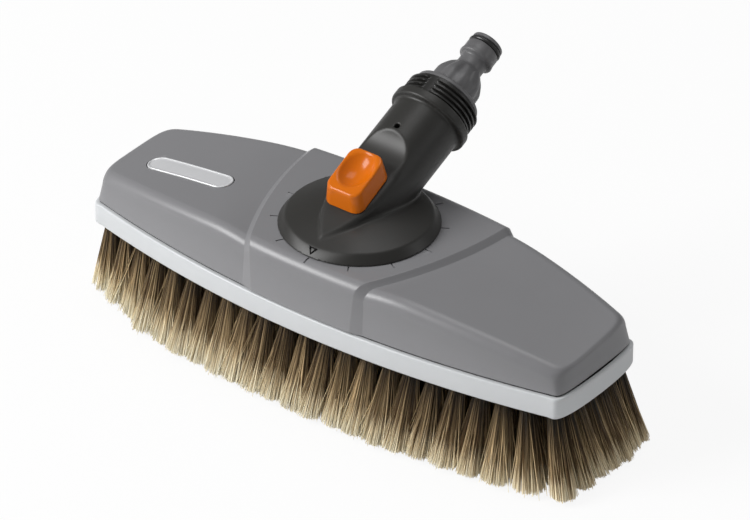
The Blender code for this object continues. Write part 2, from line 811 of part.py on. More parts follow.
def make_thrust_washer(head):
    """The slippery washer between the cover's deck and the swivel base."""
    white = make_material("thrust_washer", (0.75, 0.75, 0.72), 0.35)
    washer = flat_ring(BUSH_RADIUS + 2 * GAP, BASE_RADIUS, GAP, GAP + THRUST_HEIGHT, 24)
    add_piece("thrust_washer", washer, head, white).location.z = DECK_TOP


def make_detent_ring(head):
    """The notched ring on the deck that the lock bolt drops into, one notch for each tick mark."""
    dark = make_material("detent_ring", (0.05, 0.05, 0.055), 0.5)
    inner, outer = [], []
    for index in range(RING_NOTCHES):
        middle = math.tau * index / RING_NOTCHES - math.tau / 4
        half_notch = (BOLT_HALF_WIDTH + GAP) / NOTCH_RADIUS
        half_mouth = (BOLT_HALF_WIDTH + GAP) / RING_TOOTH_RADIUS
        for radius, angle in (
            (RING_TOOTH_RADIUS, middle - half_mouth),
            (NOTCH_RADIUS, middle - half_notch),
            (NOTCH_RADIUS, middle + half_notch),
            (RING_TOOTH_RADIUS, middle + half_mouth),
        ):
            inner.append((radius, angle))
            outer.append((RING_RADIUS, angle))
    shape = bmesh.new()
    loops = []
    for outline, height in (
        (inner, GAP),
        (outer, GAP),
        (outer, GAP + RING_HEIGHT),
        (inner, GAP + RING_HEIGHT),
    ):
        loop = []
        for radius, angle in outline:
            point = (radius * math.cos(angle), radius * math.sin(angle), height)
            loop.append(shape.verts.new(point))
        loops.append(loop)
    for lower, upper in zip(loops, loops[1:] + loops[:1]):
        for index in range(len(lower)):
            after = (index + 1) % len(lower)
            shape.faces.new((lower[index], lower[after], upper[after], upper[index]))
    add_piece("detent_ring", shape, head, dark).location.z = DECK_TOP


def make_swivel_base(stem):
    """The turning base: a screwed-on disc with a hollow spigot down through the cover."""
    black = make_material("swivel_base", (0.06, 0.06, 0.062), 0.45)
    ring_top = -COLLAR_DEPTH + LIP_HEIGHT - GAP
    ring_bottom = ring_top - 2 * O_RING_RADIUS - 2 * GAP
    ring_depth = SPIGOT_RADIUS + GAP - 2 * O_RING_RADIUS - GAP
    clip_top = -COLLAR_DEPTH - GAP - WASHER_HEIGHT
    clip_bottom = clip_top - CLIP_HEIGHT - 2 * GAP
    clip_depth = SPIGOT_RADIUS - CLIP_BITE - GAP
    bore = TUBE_RADIUS + GAP
    profile = [
        (bore, BASE_TOP),
        (BASE_RADIUS, BASE_TOP),
        (BASE_RADIUS, BASE_BOTTOM),
        (SPIGOT_RADIUS, BASE_BOTTOM),
        (SPIGOT_RADIUS, ring_top),
        (ring_depth, ring_top),
        (ring_depth, ring_bottom),
        (SPIGOT_RADIUS, ring_bottom),
        (SPIGOT_RADIUS, clip_top),
        (clip_depth, clip_top),
        (clip_depth, clip_bottom),
        (SPIGOT_RADIUS, clip_bottom),
        (SPIGOT_RADIUS, -SPIGOT_REACH),
        (bore, -SPIGOT_REACH),
    ]
    base = add_piece("swivel_base", turned(profile, 24, ring=True), stem, black)
    holes = []
    for x, y in base_screw_places():
        head_radius = BASE_SCREW_HEAD_RADIUS + GAP
        shank_radius = BASE_SCREW_RADIUS + GAP
        head_top = BASE_BOTTOM + BASE_SCREW_HEAD_HEIGHT + GAP
        bottom, top = BASE_BOTTOM - GAP, BASE_TOP + OVERRUN
        outline = [(0, bottom), (head_radius, bottom), (head_radius, head_top)]
        outline += [(shank_radius, head_top), (shank_radius, top), (0, top)]
        hole = turned(outline, 8)
        bmesh.ops.translate(hole, vec=(x, y, 0), verts=hole.verts)
        holes.append(hole)
    cut(base, "base_screw_holes", merged(holes), stem)


def base_screw_places():
    """Where the four screws of the swivel base stand, as (x, y)."""
    signs = ((-1, -1), (1, -1), (1, 1), (-1, 1))
    return [(along * BASE_SCREW_X, across * BASE_SCREW_Y) for along, across in signs]


def make_base_screws(stem):
    """Four small screws hold the swivel base to the stem housing."""
    steel = make_material("base_screws", (0.6, 0.6, 0.6), 0.3, 1.0)
    length = BASE_HEIGHT + GAP + BASE_SCREW_BITE
    sizes = (BASE_SCREW_RADIUS, BASE_SCREW_HEAD_RADIUS, BASE_SCREW_HEAD_HEIGHT, length)
    for number, (x, y) in enumerate(base_screw_places(), 1):
        make_screw(f"base_screw_{number}", stem, (x, y, BASE_BOTTOM), sizes, steel)


def make_swivel_seals(stem):
    """The o-ring, washer and spring clip that seal and hold the spigot under the cover."""
    rubber = make_material("swivel_o_ring", (0.015, 0.015, 0.015), 0.6)
    steel = make_material("swivel_washer", (0.6, 0.6, 0.61), 0.3, 1.0)
    clip_steel = make_material("swivel_clip", (0.35, 0.35, 0.37), 0.35, 1.0)
    height = -COLLAR_DEPTH + LIP_HEIGHT - 2 * GAP - O_RING_RADIUS
    radius = SPIGOT_RADIUS + GAP - O_RING_RADIUS
    add_piece("swivel_o_ring", cord_ring(radius, O_RING_RADIUS, height, 24, 5), stem, rubber)

    washer_top = -COLLAR_DEPTH - GAP
    washer = flat_ring(SPIGOT_RADIUS + GAP, WASHER_RADIUS, washer_top - WASHER_HEIGHT, washer_top, 24)
    add_piece("swivel_washer", washer, stem, steel)

    top = washer_top - WASHER_HEIGHT - GAP
    clip = flat_ring(SPIGOT_RADIUS - CLIP_BITE, CLIP_RADIUS, top - CLIP_HEIGHT, top, 24)
    clip_piece = add_piece("swivel_clip", clip, stem, clip_steel)
    mouth = block(
        (-SPIGOT_RADIUS / 2, 0, top - CLIP_HEIGHT - OVERRUN),
        (SPIGOT_RADIUS / 2, CLIP_RADIUS + OVERRUN, top + OVERRUN),
    )
    cut(clip_piece, "clip_mouth", mouth, stem)


def dome_height(radius, margin=0.0):
    """Height of the disc's domed top over the deck, at a distance from the swivel's axis."""
    return GAP + DISC_RIM + DOME_RISE * (1 - (radius / DISC_TOP_RADIUS) ** 2) - margin


def capsule(radius, start, end, segments):
    """A round bar along the stem whose near end is a half ball centred at the start."""
    profile = []
    for step in range(6):
        angle = math.pi / 2 * step / 5
        profile.append((radius * math.sin(angle), start - radius * math.cos(angle)))
    return turned(profile + [(radius, end), (0, end)], segments)


def stem_outline():
    """The stem's turned profile: half-ball nose, tube, flange and thread."""
    profile = []
    for step in range(7):
        angle = math.pi / 2 * step / 6
        profile.append((STEM_RADIUS * math.sin(angle), -STEM_NOSE - STEM_RADIUS * math.cos(angle)))
    profile += [
        (STEM_RADIUS, FLANGE_START - (FLANGE_RADIUS - STEM_RADIUS)),
        (STEM_RADIUS + FLANGE_EDGE, FLANGE_START - FLANGE_EDGE),
        (FLANGE_RADIUS - FLANGE_EDGE, FLANGE_START),
        (FLANGE_RADIUS, FLANGE_START + FLANGE_EDGE),
        (FLANGE_RADIUS, FLANGE_END),
    ]
    root = THREAD_RADIUS - THREAD_DEPTH
    pitch = 2 * THREAD_LENGTH / (2 * THREAD_TURNS + 1)
    profile.append((root, FLANGE_END))
    for turn in range(THREAD_TURNS):
        low = FLANGE_END + pitch * turn + pitch / 2
        profile += [
            (root, low),
            (THREAD_RADIUS, low + pitch * CREST_START_SHARE),
            (THREAD_RADIUS, low + pitch * CREST_END_SHARE),
            (root, low + pitch * THREAD_END_SHARE),
        ]
    return profile + [(root, STEM_END), (0, STEM_END)]


def pocket_shape():
    """The cut over the stem's top: a flat floor for the slide, then a scoop up to the surface."""
    rise = STEM_RADIUS - POCKET_FLOOR
    run = POCKET_END - POCKET_FLAT_END
    arc = (run**2 + rise**2) / (2 * rise)
    points = [(-POCKET_NOSE, POCKET_FLOOR), (POCKET_FLAT_END, POCKET_FLOOR)]
    sweep = math.asin(run / arc)
    for step in range(1, 9):
        angle = sweep * step / 7
        height = POCKET_FLOOR + arc * (1 - math.cos(angle))
        points.append((POCKET_FLAT_END + arc * math.sin(angle), height))
    points.append((points[-1][0], 2 * STEM_RADIUS))
    points.append((-POCKET_NOSE, 2 * STEM_RADIUS))
    outline = [(-2 * STEM_RADIUS, -height, along) for along, height in points]
    return extruded(outline, (4 * STEM_RADIUS, 0, 0))


def make_stem_housing(stem, stem_line):
    """The dark moulding: skirted disc, low dome and leaning tube with flange and thread."""
    dark = make_material("stem_housing", (0.042, 0.041, 0.04), 0.4)
    rim = [(0, GAP), (DISC_RADIUS, GAP), (DISC_TOP_RADIUS, GAP + DISC_RIM)]
    for share in DOME_SHARES:
        rim.append((share * DISC_TOP_RADIUS, dome_height(share * DISC_TOP_RADIUS)))
    housing = add_piece("stem_housing", turned(rim, 44), stem, dark, smooth=30)
    join(housing, "stem_tube", turned(stem_outline(), 32), stem_line)
    under = block(
        (-2 * DISC_RADIUS, -2 * DISC_RADIUS, -2 * DISC_RADIUS),
        (2 * DISC_RADIUS, 2 * DISC_RADIUS, GAP),
    )
    cut(housing, "under_disc", under, stem)

    lip = DISC_RADIUS - DISC_WALL
    top_lip = DISC_TOP_RADIUS - DISC_WALL
    hollow = [(0, GAP - OVERRUN), (lip, GAP - OVERRUN), (top_lip, GAP + DISC_RIM - DISC_WALL / 2)]
    for share in HOLLOW_SHARES:
        radius = share * DISC_TOP_RADIUS
        hollow.append((radius, dome_height(radius, DISC_WALL)))
    cut(housing, "dome_hollow", turned(hollow, 24), stem)

    chamber = add_cutter(
        "chamber", capsule(STEM_RADIUS - STEM_WALL, -STEM_NOSE, CHAMBER_END, 20), stem_line
    )
    ceiling = block(
        (-2 * STEM_RADIUS, -2 * STEM_RADIUS, -3 * STEM_RADIUS),
        (2 * STEM_RADIUS, -POCKET_FLOOR + POCKET_FLOOR_WALL, CHAMBER_END + OVERRUN),
    )
    cut(chamber, "chamber_ceiling", ceiling, stem_line)
    combine(housing, chamber, "DIFFERENCE")

    bore = [
        (0, CHAMBER_END - OVERRUN),
        (TUBE_RADIUS + GAP, CHAMBER_END - OVERRUN),
        (TUBE_RADIUS + GAP, POCKET_END + BULKHEAD),
        (STEM_RADIUS - STEM_WALL, POCKET_END + BULKHEAD),
        (STEM_RADIUS - STEM_WALL, STEM_END + OVERRUN),
        (0, STEM_END + OVERRUN),
    ]
    cut(housing, "stem_bore", turned(bore, 20), stem_line)
    cut(housing, "thumb_pocket", pocket_shape(), stem_line)

    bosses = []
    holes = []
    for x, y in base_screw_places():
        boss_radius = BASE_SCREW_RADIUS + GAP + BOSS_WALL / 2
        ceiling = dome_height(math.hypot(x, y), DISC_WALL / 2)
        bosses.append(disc_column(boss_radius, BASE_TOP + GAP, ceiling, 8, (x, y)))
        depth = BASE_TOP + BASE_SCREW_BITE + 2 * GAP
        holes.append(disc_column(BASE_SCREW_RADIUS + GAP, BASE_TOP - GAP, depth, 8, (x, y)))
    join(housing, "base_bosses", merged(bosses), stem)
    cut(housing, "boss_holes", merged(holes), stem)

    slot = block(
        (-PEG_HALF_WIDTH - GAP, -POCKET_FLOOR - OVERRUN, -PEG_HALF_LENGTH - GAP),
        (PEG_HALF_WIDTH + GAP, -BOLT_BOTTOM, PEG_HALF_LENGTH + BUTTON_TRAVEL + GAP),
    )
    vent = disc_column(VENT_RADIUS, 0, STEM_RADIUS + OVERRUN, 12)
    bmesh.ops.rotate(
        vent, cent=(0, 0, 0), matrix=Matrix.Rotation(math.radians(90), 3, "X"), verts=vent.verts
    )
    bmesh.ops.translate(vent, vec=(0, 0, VENT_PLACE), verts=vent.verts)
    gaps = []
    for side in (-1, 1):
        root = (THREAD_RADIUS - THREAD_DEPTH) * side
        far = (THREAD_RADIUS + OVERRUN) * side
        low = (-THREAD_GAP / 2, min(root, far), FLANGE_END)
        high = (THREAD_GAP / 2, max(root, far), STEM_END + OVERRUN)
        gaps.append(block(low, high))
    cut(housing, "stem_openings", merged([slot, vent] + gaps), stem_line)


def make_hose_nipple(stem_line):
    """The quick-connect nipple: closing flange, plug, ribbed cone, neck, barb and barrel."""
    grey = make_material("hose_nipple", (0.15, 0.15, 0.155), 0.38)
    flange = NIPPLE_START + NIPPLE_FLANGE
    ring_high = NIPPLE_END - NIPPLE_RING_PLACE
    ring_low = ring_high - NIPPLE_RING_WIDTH
    plug_radius = STEM_RADIUS - STEM_WALL - GAP
    sleeve = TUBE_RADIUS + GAP + NIPPLE_FLANGE
    barb = NIPPLE_START + NIPPLE_NECK_END
    profile = [
        (TUBE_RADIUS + GAP, STEM_END - NIPPLE_SLEEVE),
        (sleeve, STEM_END - NIPPLE_SLEEVE),
        (sleeve, STEM_END - NIPPLE_PLUG),
        (plug_radius, STEM_END - NIPPLE_PLUG),
        (plug_radius, NIPPLE_START),
        (NIPPLE_FLANGE_RADIUS, NIPPLE_START),
        (NIPPLE_FLANGE_RADIUS, flange - NIPPLE_EDGE),
        (NIPPLE_FLANGE_RADIUS - NIPPLE_EDGE, flange),
        (NIPPLE_BASE_RADIUS, flange),
        (NIPPLE_BASE_RADIUS, NIPPLE_START + NIPPLE_BASE_END),
        (NIPPLE_SHOULDER_RADIUS, NIPPLE_START + NIPPLE_SHOULDER_END),
        (NIPPLE_WAIST_RADIUS, NIPPLE_START + NIPPLE_CONE_END),
        (NIPPLE_NECK_RADIUS, NIPPLE_START + NIPPLE_NECK_START),
        (NIPPLE_NECK_RADIUS, barb),
        (NIPPLE_BARB_RADIUS, barb + (NIPPLE_BARB_RADIUS - NIPPLE_NECK_RADIUS) / 2),
        (NIPPLE_BARREL_RADIUS, NIPPLE_START + NIPPLE_BARB_END),
        (NIPPLE_BARREL_RADIUS, ring_low),
        (NIPPLE_BARREL_RADIUS - NIPPLE_RING_DEPTH, ring_low),
        (NIPPLE_BARREL_RADIUS - NIPPLE_RING_DEPTH, ring_high),
        (NIPPLE_TIP_RADIUS, ring_high),
        (NIPPLE_TIP_RADIUS, NIPPLE_END - NIPPLE_EDGE),
        (NIPPLE_TIP_RADIUS - NIPPLE_EDGE, NIPPLE_END),
        (NIPPLE_BORE, NIPPLE_END),
        (NIPPLE_BORE, STEM_END),
        (TUBE_BORE, STEM_END - NIPPLE_FLANGE + GAP),
        (TUBE_RADIUS + GAP, STEM_END - NIPPLE_FLANGE + GAP),
    ]
    add_piece("hose_nipple", turned(profile, 24, ring=True), stem_line, grey, smooth=30)


def make_nipple_o_ring(stem_line):
    """The black ring near the nipple's tip."""
    rubber = make_material("nipple_o_ring", (0.012, 0.012, 0.012), 0.5)
    cord = NIPPLE_RING_WIDTH / 2 - GAP
    radius = NIPPLE_BARREL_RADIUS - NIPPLE_RING_DEPTH + GAP + cord
    height = NIPPLE_END - NIPPLE_RING_PLACE - NIPPLE_RING_WIDTH / 2
    add_piece("nipple_o_ring", cord_ring(radius, cord, height, 24, 6), stem_line, rubber)


def make_water_tube(stem, stem_line):
    """The hose inside: up from the spigot, round a bend and along the stem to the nipple."""
    clear = make_material("water_tube", (0.55, 0.6, 0.62), 0.3)
    turn = math.pi / 2 - STEM_ANGLE
    tangent = TUBE_BEND * math.tan(turn / 2)
    start = STEM_AXIS_HEIGHT - tangent
    middles = [((0, BASE_BOTTOM - TUBE_SEAT), 0)]
    for step in range(5):
        angle = turn * step / 4
        y = TUBE_BEND * (1 - math.cos(angle))
        z = start + TUBE_BEND * math.sin(angle)
        middles.append(((y, z), angle))
    reach = STEM_END - NIPPLE_FLANGE - GAP
    end = (reach * math.cos(STEM_ANGLE), STEM_AXIS_HEIGHT + reach * math.sin(STEM_ANGLE))
    middles.append((end, turn))
    loops = []
    shape = bmesh.new()
    for radius in (TUBE_RADIUS, TUBE_BORE):
        walls = []
        for (y, z), angle in middles:
            across = Vector((0, math.cos(angle), -math.sin(angle)))
            ring = []
            for side in range(10):
                spin = math.tau * side / 10
                offset = Vector((radius * math.cos(spin), 0, 0)) + across * radius * math.sin(spin)
                ring.append(shape.verts.new(Vector((0, y, z)) + offset))
            walls.append(ring)
        loops += walls if radius == TUBE_RADIUS else list(reversed(walls))
    for lower, upper in zip(loops, loops[1:] + loops[:1]):
        for index in range(len(lower)):
            after = (index + 1) % len(lower)
            shape.faces.new((lower[index], lower[after], upper[after], upper[index]))
    add_piece("water_tube", shape, stem, clear)


def make_release_button(stem_line):
    """The orange thumb slide: a rounded block with a dish and a front lip, hollow for the peg."""
    orange = make_material("release_button", (0.80, 0.19, 0.012), 0.22)
    bottom = POCKET_FLOOR + GAP
    middle = BUTTON_BACK - BUTTON_LENGTH / 2
    rings = []
    for drop, inset in ((None, 0), (BUTTON_EDGE, 0), (BUTTON_EDGE / 3, BUTTON_EDGE / 3), (0, BUTTON_EDGE)):
        share = 0 if drop is None else 1
        half_x = BUTTON_WIDTH / 2 - BUTTON_SIDE_TAPER * share - inset
        half_z = BUTTON_LENGTH / 2 - BUTTON_END_TAPER * share - inset
        radius = BUTTON_CORNER - inset / 2
        ring = []
        for quarter in range(4):
            side_x = 1 if quarter in (0, 3) else -1
            side_z = 1 if quarter in (0, 1) else -1
            for step in range(5):
                angle = math.pi / 2 * (quarter + step / 4)
                x = side_x * (half_x - radius) + radius * math.cos(angle)
                z = side_z * (half_z - radius) + radius * math.sin(angle)
                rise = BUTTON_TOP + (BUTTON_REAR_TOP - BUTTON_TOP) * (z / BUTTON_LENGTH + 1 / 2)
                height = bottom if drop is None else rise - drop
                ring.append(Vector((x, -height, middle + z + BUTTON_LEAN * share)))
        rings.append(ring)
    button = add_piece("release_button", lofted(rings), stem_line, orange, smooth=35)

    dish = bmesh.new()
    bmesh.ops.create_uvsphere(dish, u_segments=24, v_segments=16, radius=DISH_RADIUS)
    squash = (BUTTON_WIDTH / BUTTON_LENGTH, 1, 1)
    bmesh.ops.scale(dish, vec=squash, verts=dish.verts)
    lift = (BUTTON_TOP + BUTTON_REAR_TOP) / 2 + DISH_RADIUS - DISH_DEPTH
    bmesh.ops.translate(dish, vec=(0, -lift, middle + BUTTON_LEAN), verts=dish.verts)
    cut(button, "thumb_dish", dish, stem_line)

    socket = block(
        (-PEG_HALF_WIDTH - GAP, -POCKET_FLOOR - PEG_REACH - GAP, -PEG_HALF_LENGTH - GAP),
        (PEG_HALF_WIDTH + GAP, -POCKET_FLOOR + OVERRUN, PEG_HALF_LENGTH + GAP),
    )
    cut(button, "peg_socket", socket, stem_line)


def make_lock_bolt(stem_line):
    """The sliding bolt under the pocket's floor: nose, peg up to the slide and a spring yoke."""
    steel = make_material("lock_bolt", (0.5, 0.5, 0.52), 0.35, 1.0)
    nose = block(
        (-BOLT_HALF_WIDTH, -BOLT_TOP, -BOLT_NOSE),
        (BOLT_HALF_WIDTH, -BOLT_BOTTOM, BOLT_YOKE_BACK - BOLT_YOKE_LENGTH / 2),
    )
    bolt = add_piece("lock_bolt", nose, stem_line, steel)
    peg = block(
        (-PEG_HALF_WIDTH, -POCKET_FLOOR - PEG_REACH, -PEG_HALF_LENGTH),
        (PEG_HALF_WIDTH, -BOLT_TOP + BOLT_HEIGHT / 2, PEG_HALF_LENGTH),
    )
    join(bolt, "bolt_peg", peg, stem_line)
    wide, narrow = BOLT_YOKE_HALF_WIDTH, SPRING_X - SPRING_RADIUS - GAP
    top, middle, low = -BOLT_TOP, -BOLT_BOTTOM, -BOLT_BOTTOM + BOLT_YOKE_DROP
    front = BOLT_YOKE_BACK - BOLT_YOKE_LENGTH
    outline = [
        (-wide, top, front),
        (wide, top, front),
        (wide, low, front),
        (narrow, low, front),
        (narrow, middle, front),
        (-narrow, middle, front),
        (-narrow, low, front),
        (-wide, low, front),
    ]
    join(bolt, "bolt_yoke", extruded(outline, (0, 0, BOLT_YOKE_LENGTH)), stem_line)


def make_bolt_springs(stem_line):
    """Two coil springs push the bolt home from the stem's bulkhead."""
    steel = make_material("bolt_spring", (0.55, 0.55, 0.57), 0.3, 1.0)
    start = BOLT_YOKE_BACK + GAP + SPRING_WIRE
    length = CHAMBER_END - GAP - SPRING_WIRE - start
    steps = 8 * SPRING_TURNS
    for side, name in ((-1, "left"), (1, "right")):
        coil = bpy.data.curves.new(f"bolt_spring_{name}", "CURVE")
        coil.dimensions = "3D"
        coil.bevel_depth = SPRING_WIRE
        coil.bevel_resolution = 0
        coil.use_fill_caps = True
        coil.materials.append(steel)
        line = coil.splines.new("POLY")
        line.points.add(steps)
        for step in range(steps + 1):
            turn = math.tau * step / 8
            x = SPRING_RADIUS * math.cos(turn)
            y = SPRING_RADIUS * math.sin(turn)
            line.points[step].co = (x, y, length * step / steps, 1)
        spring = bpy.data.objects.new(f"bolt_spring_{name}", coil)
        bpy.context.scene.collection.objects.link(spring)
        spring.parent = stem_line
        middle = BOLT_BOTTOM + BOLT_HEIGHT / 2 - BOLT_YOKE_DROP / 2
        spring.location = (side * SPRING_X, -middle, start)


def build():
    """Build every sub-part on its body's frame."""
    clear_scene()
    head = add_empty("head_frame", (SWIVEL_X, SWIVEL_Y, 0))
    stem = add_empty("swivel_frame", (0, 0, DECK_TOP), head)
    stem_line = add_empty(
        "stem_frame", (0, 0, STEM_AXIS_HEIGHT), stem, lean=STEM_ANGLE - math.radians(90)
    )
    make_bristle_plate(head)
    make_bristles(head)
    make_cover_seal(head)
    make_top_cover(head)
    make_badge(head)
    make_plate_screws(head)
    make_swivel_bush(head)
    make_thrust_washer(head)
    make_detent_ring(head)
    make_swivel_base(stem)
    make_base_screws(stem)
    make_swivel_seals(stem)
    make_stem_housing(stem, stem_line)
    make_water_tube(stem, stem_line)
    make_hose_nipple(stem_line)
    make_nipple_o_ring(stem_line)
    make_release_button(stem_line)
    make_lock_bolt(stem_line)
    make_bolt_springs(stem_line)


build()
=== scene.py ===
"""How the car wash brush looks: camera, light and the finished surface of every piece."""
import math
import random

import bmesh
import bpy
import numpy as np
from mathutils import Matrix, Vector


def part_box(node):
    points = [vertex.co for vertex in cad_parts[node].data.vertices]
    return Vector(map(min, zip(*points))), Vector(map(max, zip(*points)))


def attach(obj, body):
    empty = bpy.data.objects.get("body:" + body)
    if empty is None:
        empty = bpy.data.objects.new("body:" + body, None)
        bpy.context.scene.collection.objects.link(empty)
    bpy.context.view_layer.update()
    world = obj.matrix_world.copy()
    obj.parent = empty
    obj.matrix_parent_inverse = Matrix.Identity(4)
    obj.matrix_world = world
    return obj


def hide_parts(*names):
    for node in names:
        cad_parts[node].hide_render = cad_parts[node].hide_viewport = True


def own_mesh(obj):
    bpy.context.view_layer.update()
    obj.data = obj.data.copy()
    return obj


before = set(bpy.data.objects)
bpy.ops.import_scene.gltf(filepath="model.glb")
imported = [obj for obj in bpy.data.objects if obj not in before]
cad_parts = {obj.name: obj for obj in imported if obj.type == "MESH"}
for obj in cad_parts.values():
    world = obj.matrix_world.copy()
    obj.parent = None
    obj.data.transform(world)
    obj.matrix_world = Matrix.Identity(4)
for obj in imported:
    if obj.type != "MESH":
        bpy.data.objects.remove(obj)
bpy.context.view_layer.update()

MM = 0.001

# The view. The brush stands on its bristles on a white table, and a long lens looks down at it
# from the right and the front, as in the photograph.
washer_low, washer_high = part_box("thrust_washer")
swivel_x = (washer_low.x + washer_high.x) / 2
swivel_y = (washer_low.y + washer_high.y) / 2
deck_top = washer_low.z - 0.3 * MM  # the gap under the washer
plate_low, plate_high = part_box("bristle_plate")

view_turn = math.radians(37.55)
view_rise = math.radians(33.69)
view_distance = 2697 * MM
photo_width, photo_height = 750, 520
photo_scale = 2.28  # pixels of the photograph's frame for a millimetre at the swivel
aim_x, aim_y = 359.6, 290.2  # where the swivel's axis meets the plate's lower face in the frame

right = Vector((math.cos(view_turn), math.sin(view_turn), 0))
back = Vector((
    math.sin(view_turn) * math.cos(view_rise),
    -math.cos(view_turn) * math.cos(view_rise),
    math.sin(view_rise),
))
up = back.cross(right)
lens = bpy.data.cameras.new("camera")
lens.sensor_width = 36
lens.lens = photo_scale * view_distance / MM / photo_width * lens.sensor_width
lens.shift_x = (photo_width / 2 - aim_x) / photo_width
lens.shift_y = (aim_y - photo_height / 2) / photo_width
lens.clip_end = 20


def add_object(name, data, body=None):
    """An object in the scene, which rides on a body if one is named."""
    thing = bpy.data.objects.new(name, data)
    bpy.context.scene.collection.objects.link(thing)
    if body:
        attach(thing, body)
    return thing


camera = add_object("camera", lens)
target = Vector((swivel_x, swivel_y, plate_low.z))
camera.matrix_world = (
    Matrix.Translation(target + back * view_distance)
    @ Matrix((right, up, back)).transposed().to_4x4()
)
bpy.context.scene.camera = camera
bpy.context.scene.view_settings.view_transform = "Standard"


def feed(tree, node, inputs):
    """Gives each input, named or numbered, its value, or joins it to another node's socket."""
    for name, value in inputs.items():
        if isinstance(value, bpy.types.NodeSocket):
            tree.links.new(value, node.inputs[name])
        else:
            node.inputs[name].default_value = value


def add_node(tree, kind, inputs=None, **settings):
    """A node with its settings and inputs."""
    node = tree.nodes.new(kind)
    for name, value in settings.items():
        setattr(node, name, value)
    feed(tree, node, inputs or {})
    return node


def makers(tree):
    """Short hands for a tree: one adds a node and one a kind of sum. Both give a first output."""

    def made(kind, inputs=None, **settings):
        return add_node(tree, kind, inputs, **settings).outputs[0]

    def sums(operation):
        return lambda *values: made("ShaderNodeMath", dict(enumerate(values)), operation=operation)

    return made, sums


def add_light(name, place, size, power):
    """A square soft box that faces the brush."""
    lamp = bpy.data.lights.new(name, "AREA")
    lamp.size = size
    lamp.energy = power
    light = add_object(name, lamp)
    light.location = place
    away = light.location - Vector((0, 0, 0.05))
    light.rotation_euler = away.to_track_quat("Z", "Y").to_euler()


add_light("front_left_box", (-1.2, -1.35, 1.3), 1.05, 47)
add_light("top_box", (-0.1, 0.3, 1.6), 0.8, 5.5)
add_light("back_right_strip", (1.2, 0.8, 0.7), 0.4, 1.6)
sky_light = 0.24
table_colour = (0.85, 0.85, 0.85, 1)
table_glow = 0.9  # how much of the table the camera sees as plain white
table_reach = 9
white = (1, 1, 1, 1)


def new_material(name):
    """A material and its node tree."""
    material = bpy.data.materials.new(name)
    material.use_nodes = True
    return material, material.node_tree


def show_white(tree, end, lit, lit_inputs, glow, share):
    """Fills a world's or material's tree: lit for the light's rays, plain white for the camera's."""
    tree.nodes.clear()
    made, sums = makers(tree)
    seen = sums("MULTIPLY")(add_node(tree, "ShaderNodeLightPath").outputs["Is Camera Ray"], share)
    both = {0: seen, 1: made(lit, lit_inputs), 2: made(glow, {0: white, 1: 1})}
    add_node(tree, end, {0: made("ShaderNodeMixShader", both)})


world = bpy.data.worlds.new("studio")
bpy.context.scene.world = world
world.use_nodes = True
sky = "ShaderNodeBackground"
show_white(world.node_tree, "ShaderNodeOutputWorld", sky, {0: white, 1: sky_light}, sky, 1)

table_mesh = bpy.data.meshes.new("table")
corners = [(x * table_reach, y * table_reach, 0) for x, y in ((-1, -1), (1, -1), (1, 1), (-1, 1))]
table_mesh.from_pydata(corners, [], [(0, 1, 2, 3)])
table = add_object("table", table_mesh)
paint, paint_tree = new_material("table_white")
matt, glow = "ShaderNodeBsdfDiffuse", "ShaderNodeEmission"
show_white(paint_tree, "ShaderNodeOutputMaterial", matt, {0: table_colour}, glow, table_glow)
table_mesh.materials.append(paint)


# Bristle plate. A pale grey moulded tray, 261 mm long, curved on its long sides and blunt at the
# ends. The bristles stand in its well, and the cover is screwed to it from below, so no screw shows.
plate_length = plate_high.x - plate_low.x
plate_width = plate_high.y - plate_low.y
plate_end_width = 54.4 * MM
plate_corner = 8 * MM
plate_bulge = 1.7 * MM
plate_well_wall = 2.6 * MM
plate_well_depth = 2.3 * MM
plate_rounding = 0.9 * MM
well_edge = 0.4 * MM
corner_power = 4.5  # how square an end's corners are: 2 is an ellipse
edge_wear = 0.35
plate_middle_x = (plate_low.x + plate_high.x) / 2


def half_width(x, inset):
    """Half the head's width at x from its middle. The long sides are one shallow arc."""
    rise = (plate_width - plate_end_width) / 2
    radius = ((plate_length / 2) ** 2 + rise**2) / (2 * rise)
    return plate_width / 2 - radius + math.sqrt((radius - inset) ** 2 - x**2)


def end_swell(share):
    """How far the rounded end stands out at a share of its half width, as a share of its reach."""
    return (1 - abs(share) ** corner_power) ** (1 / corner_power)


def end_shares(count):
    """Places across an end, closer together near its corners."""
    return [math.sin(math.pi / 2 * (2 * n / count - 1)) for n in range(1, count)]


def plate_loop(inset, height, steps=72, end_steps=28):
    """The plate's outline moved in by an inset, at a height, counter-clockwise from above."""
    corner_x = plate_length / 2 - plate_corner
    width = half_width(corner_x, inset)
    stations = [corner_x * (2 * n / steps - 1) for n in range(steps + 1)]
    loop = [(x, -half_width(x, inset)) for x in stations]
    right_end = []
    for share in end_shares(end_steps):
        reach = (plate_corner - plate_bulge - inset) * end_swell(share)
        right_end.append((corner_x + reach + plate_bulge * (1 - share**2), share * width))
    loop += right_end
    loop += [(x, half_width(x, inset)) for x in reversed(stations)]
    loop += [(-x, -y) for x, y in right_end]
    return [Vector((plate_middle_x + x, swivel_y + y, height)) for x, y in loop]


def soften_by_angle(mesh, degrees):
    """Smooth faces with crisp edges where the surface turns by more than the angle."""
    mesh.shade_smooth()
    mesh.set_sharp_from_angle(angle=math.radians(degrees))


def as_mesh(name, shape):
    """A bmesh as a mesh whose faces all look outwards."""
    bmesh.ops.recalc_face_normals(shape, faces=shape.faces)
    mesh = bpy.data.meshes.new(name)
    shape.to_mesh(mesh)
    shape.free()
    return mesh


def add_piece(name, mesh, material, body, crease=180):
    """A mesh or bmesh as an object of one material on a body. Its edges are crisp over the crease."""
    if isinstance(mesh, bmesh.types.BMesh):
        mesh = as_mesh(name, mesh)
    soften_by_angle(mesh, crease)
    mesh.materials.append(material)
    return add_object(name, mesh, body)


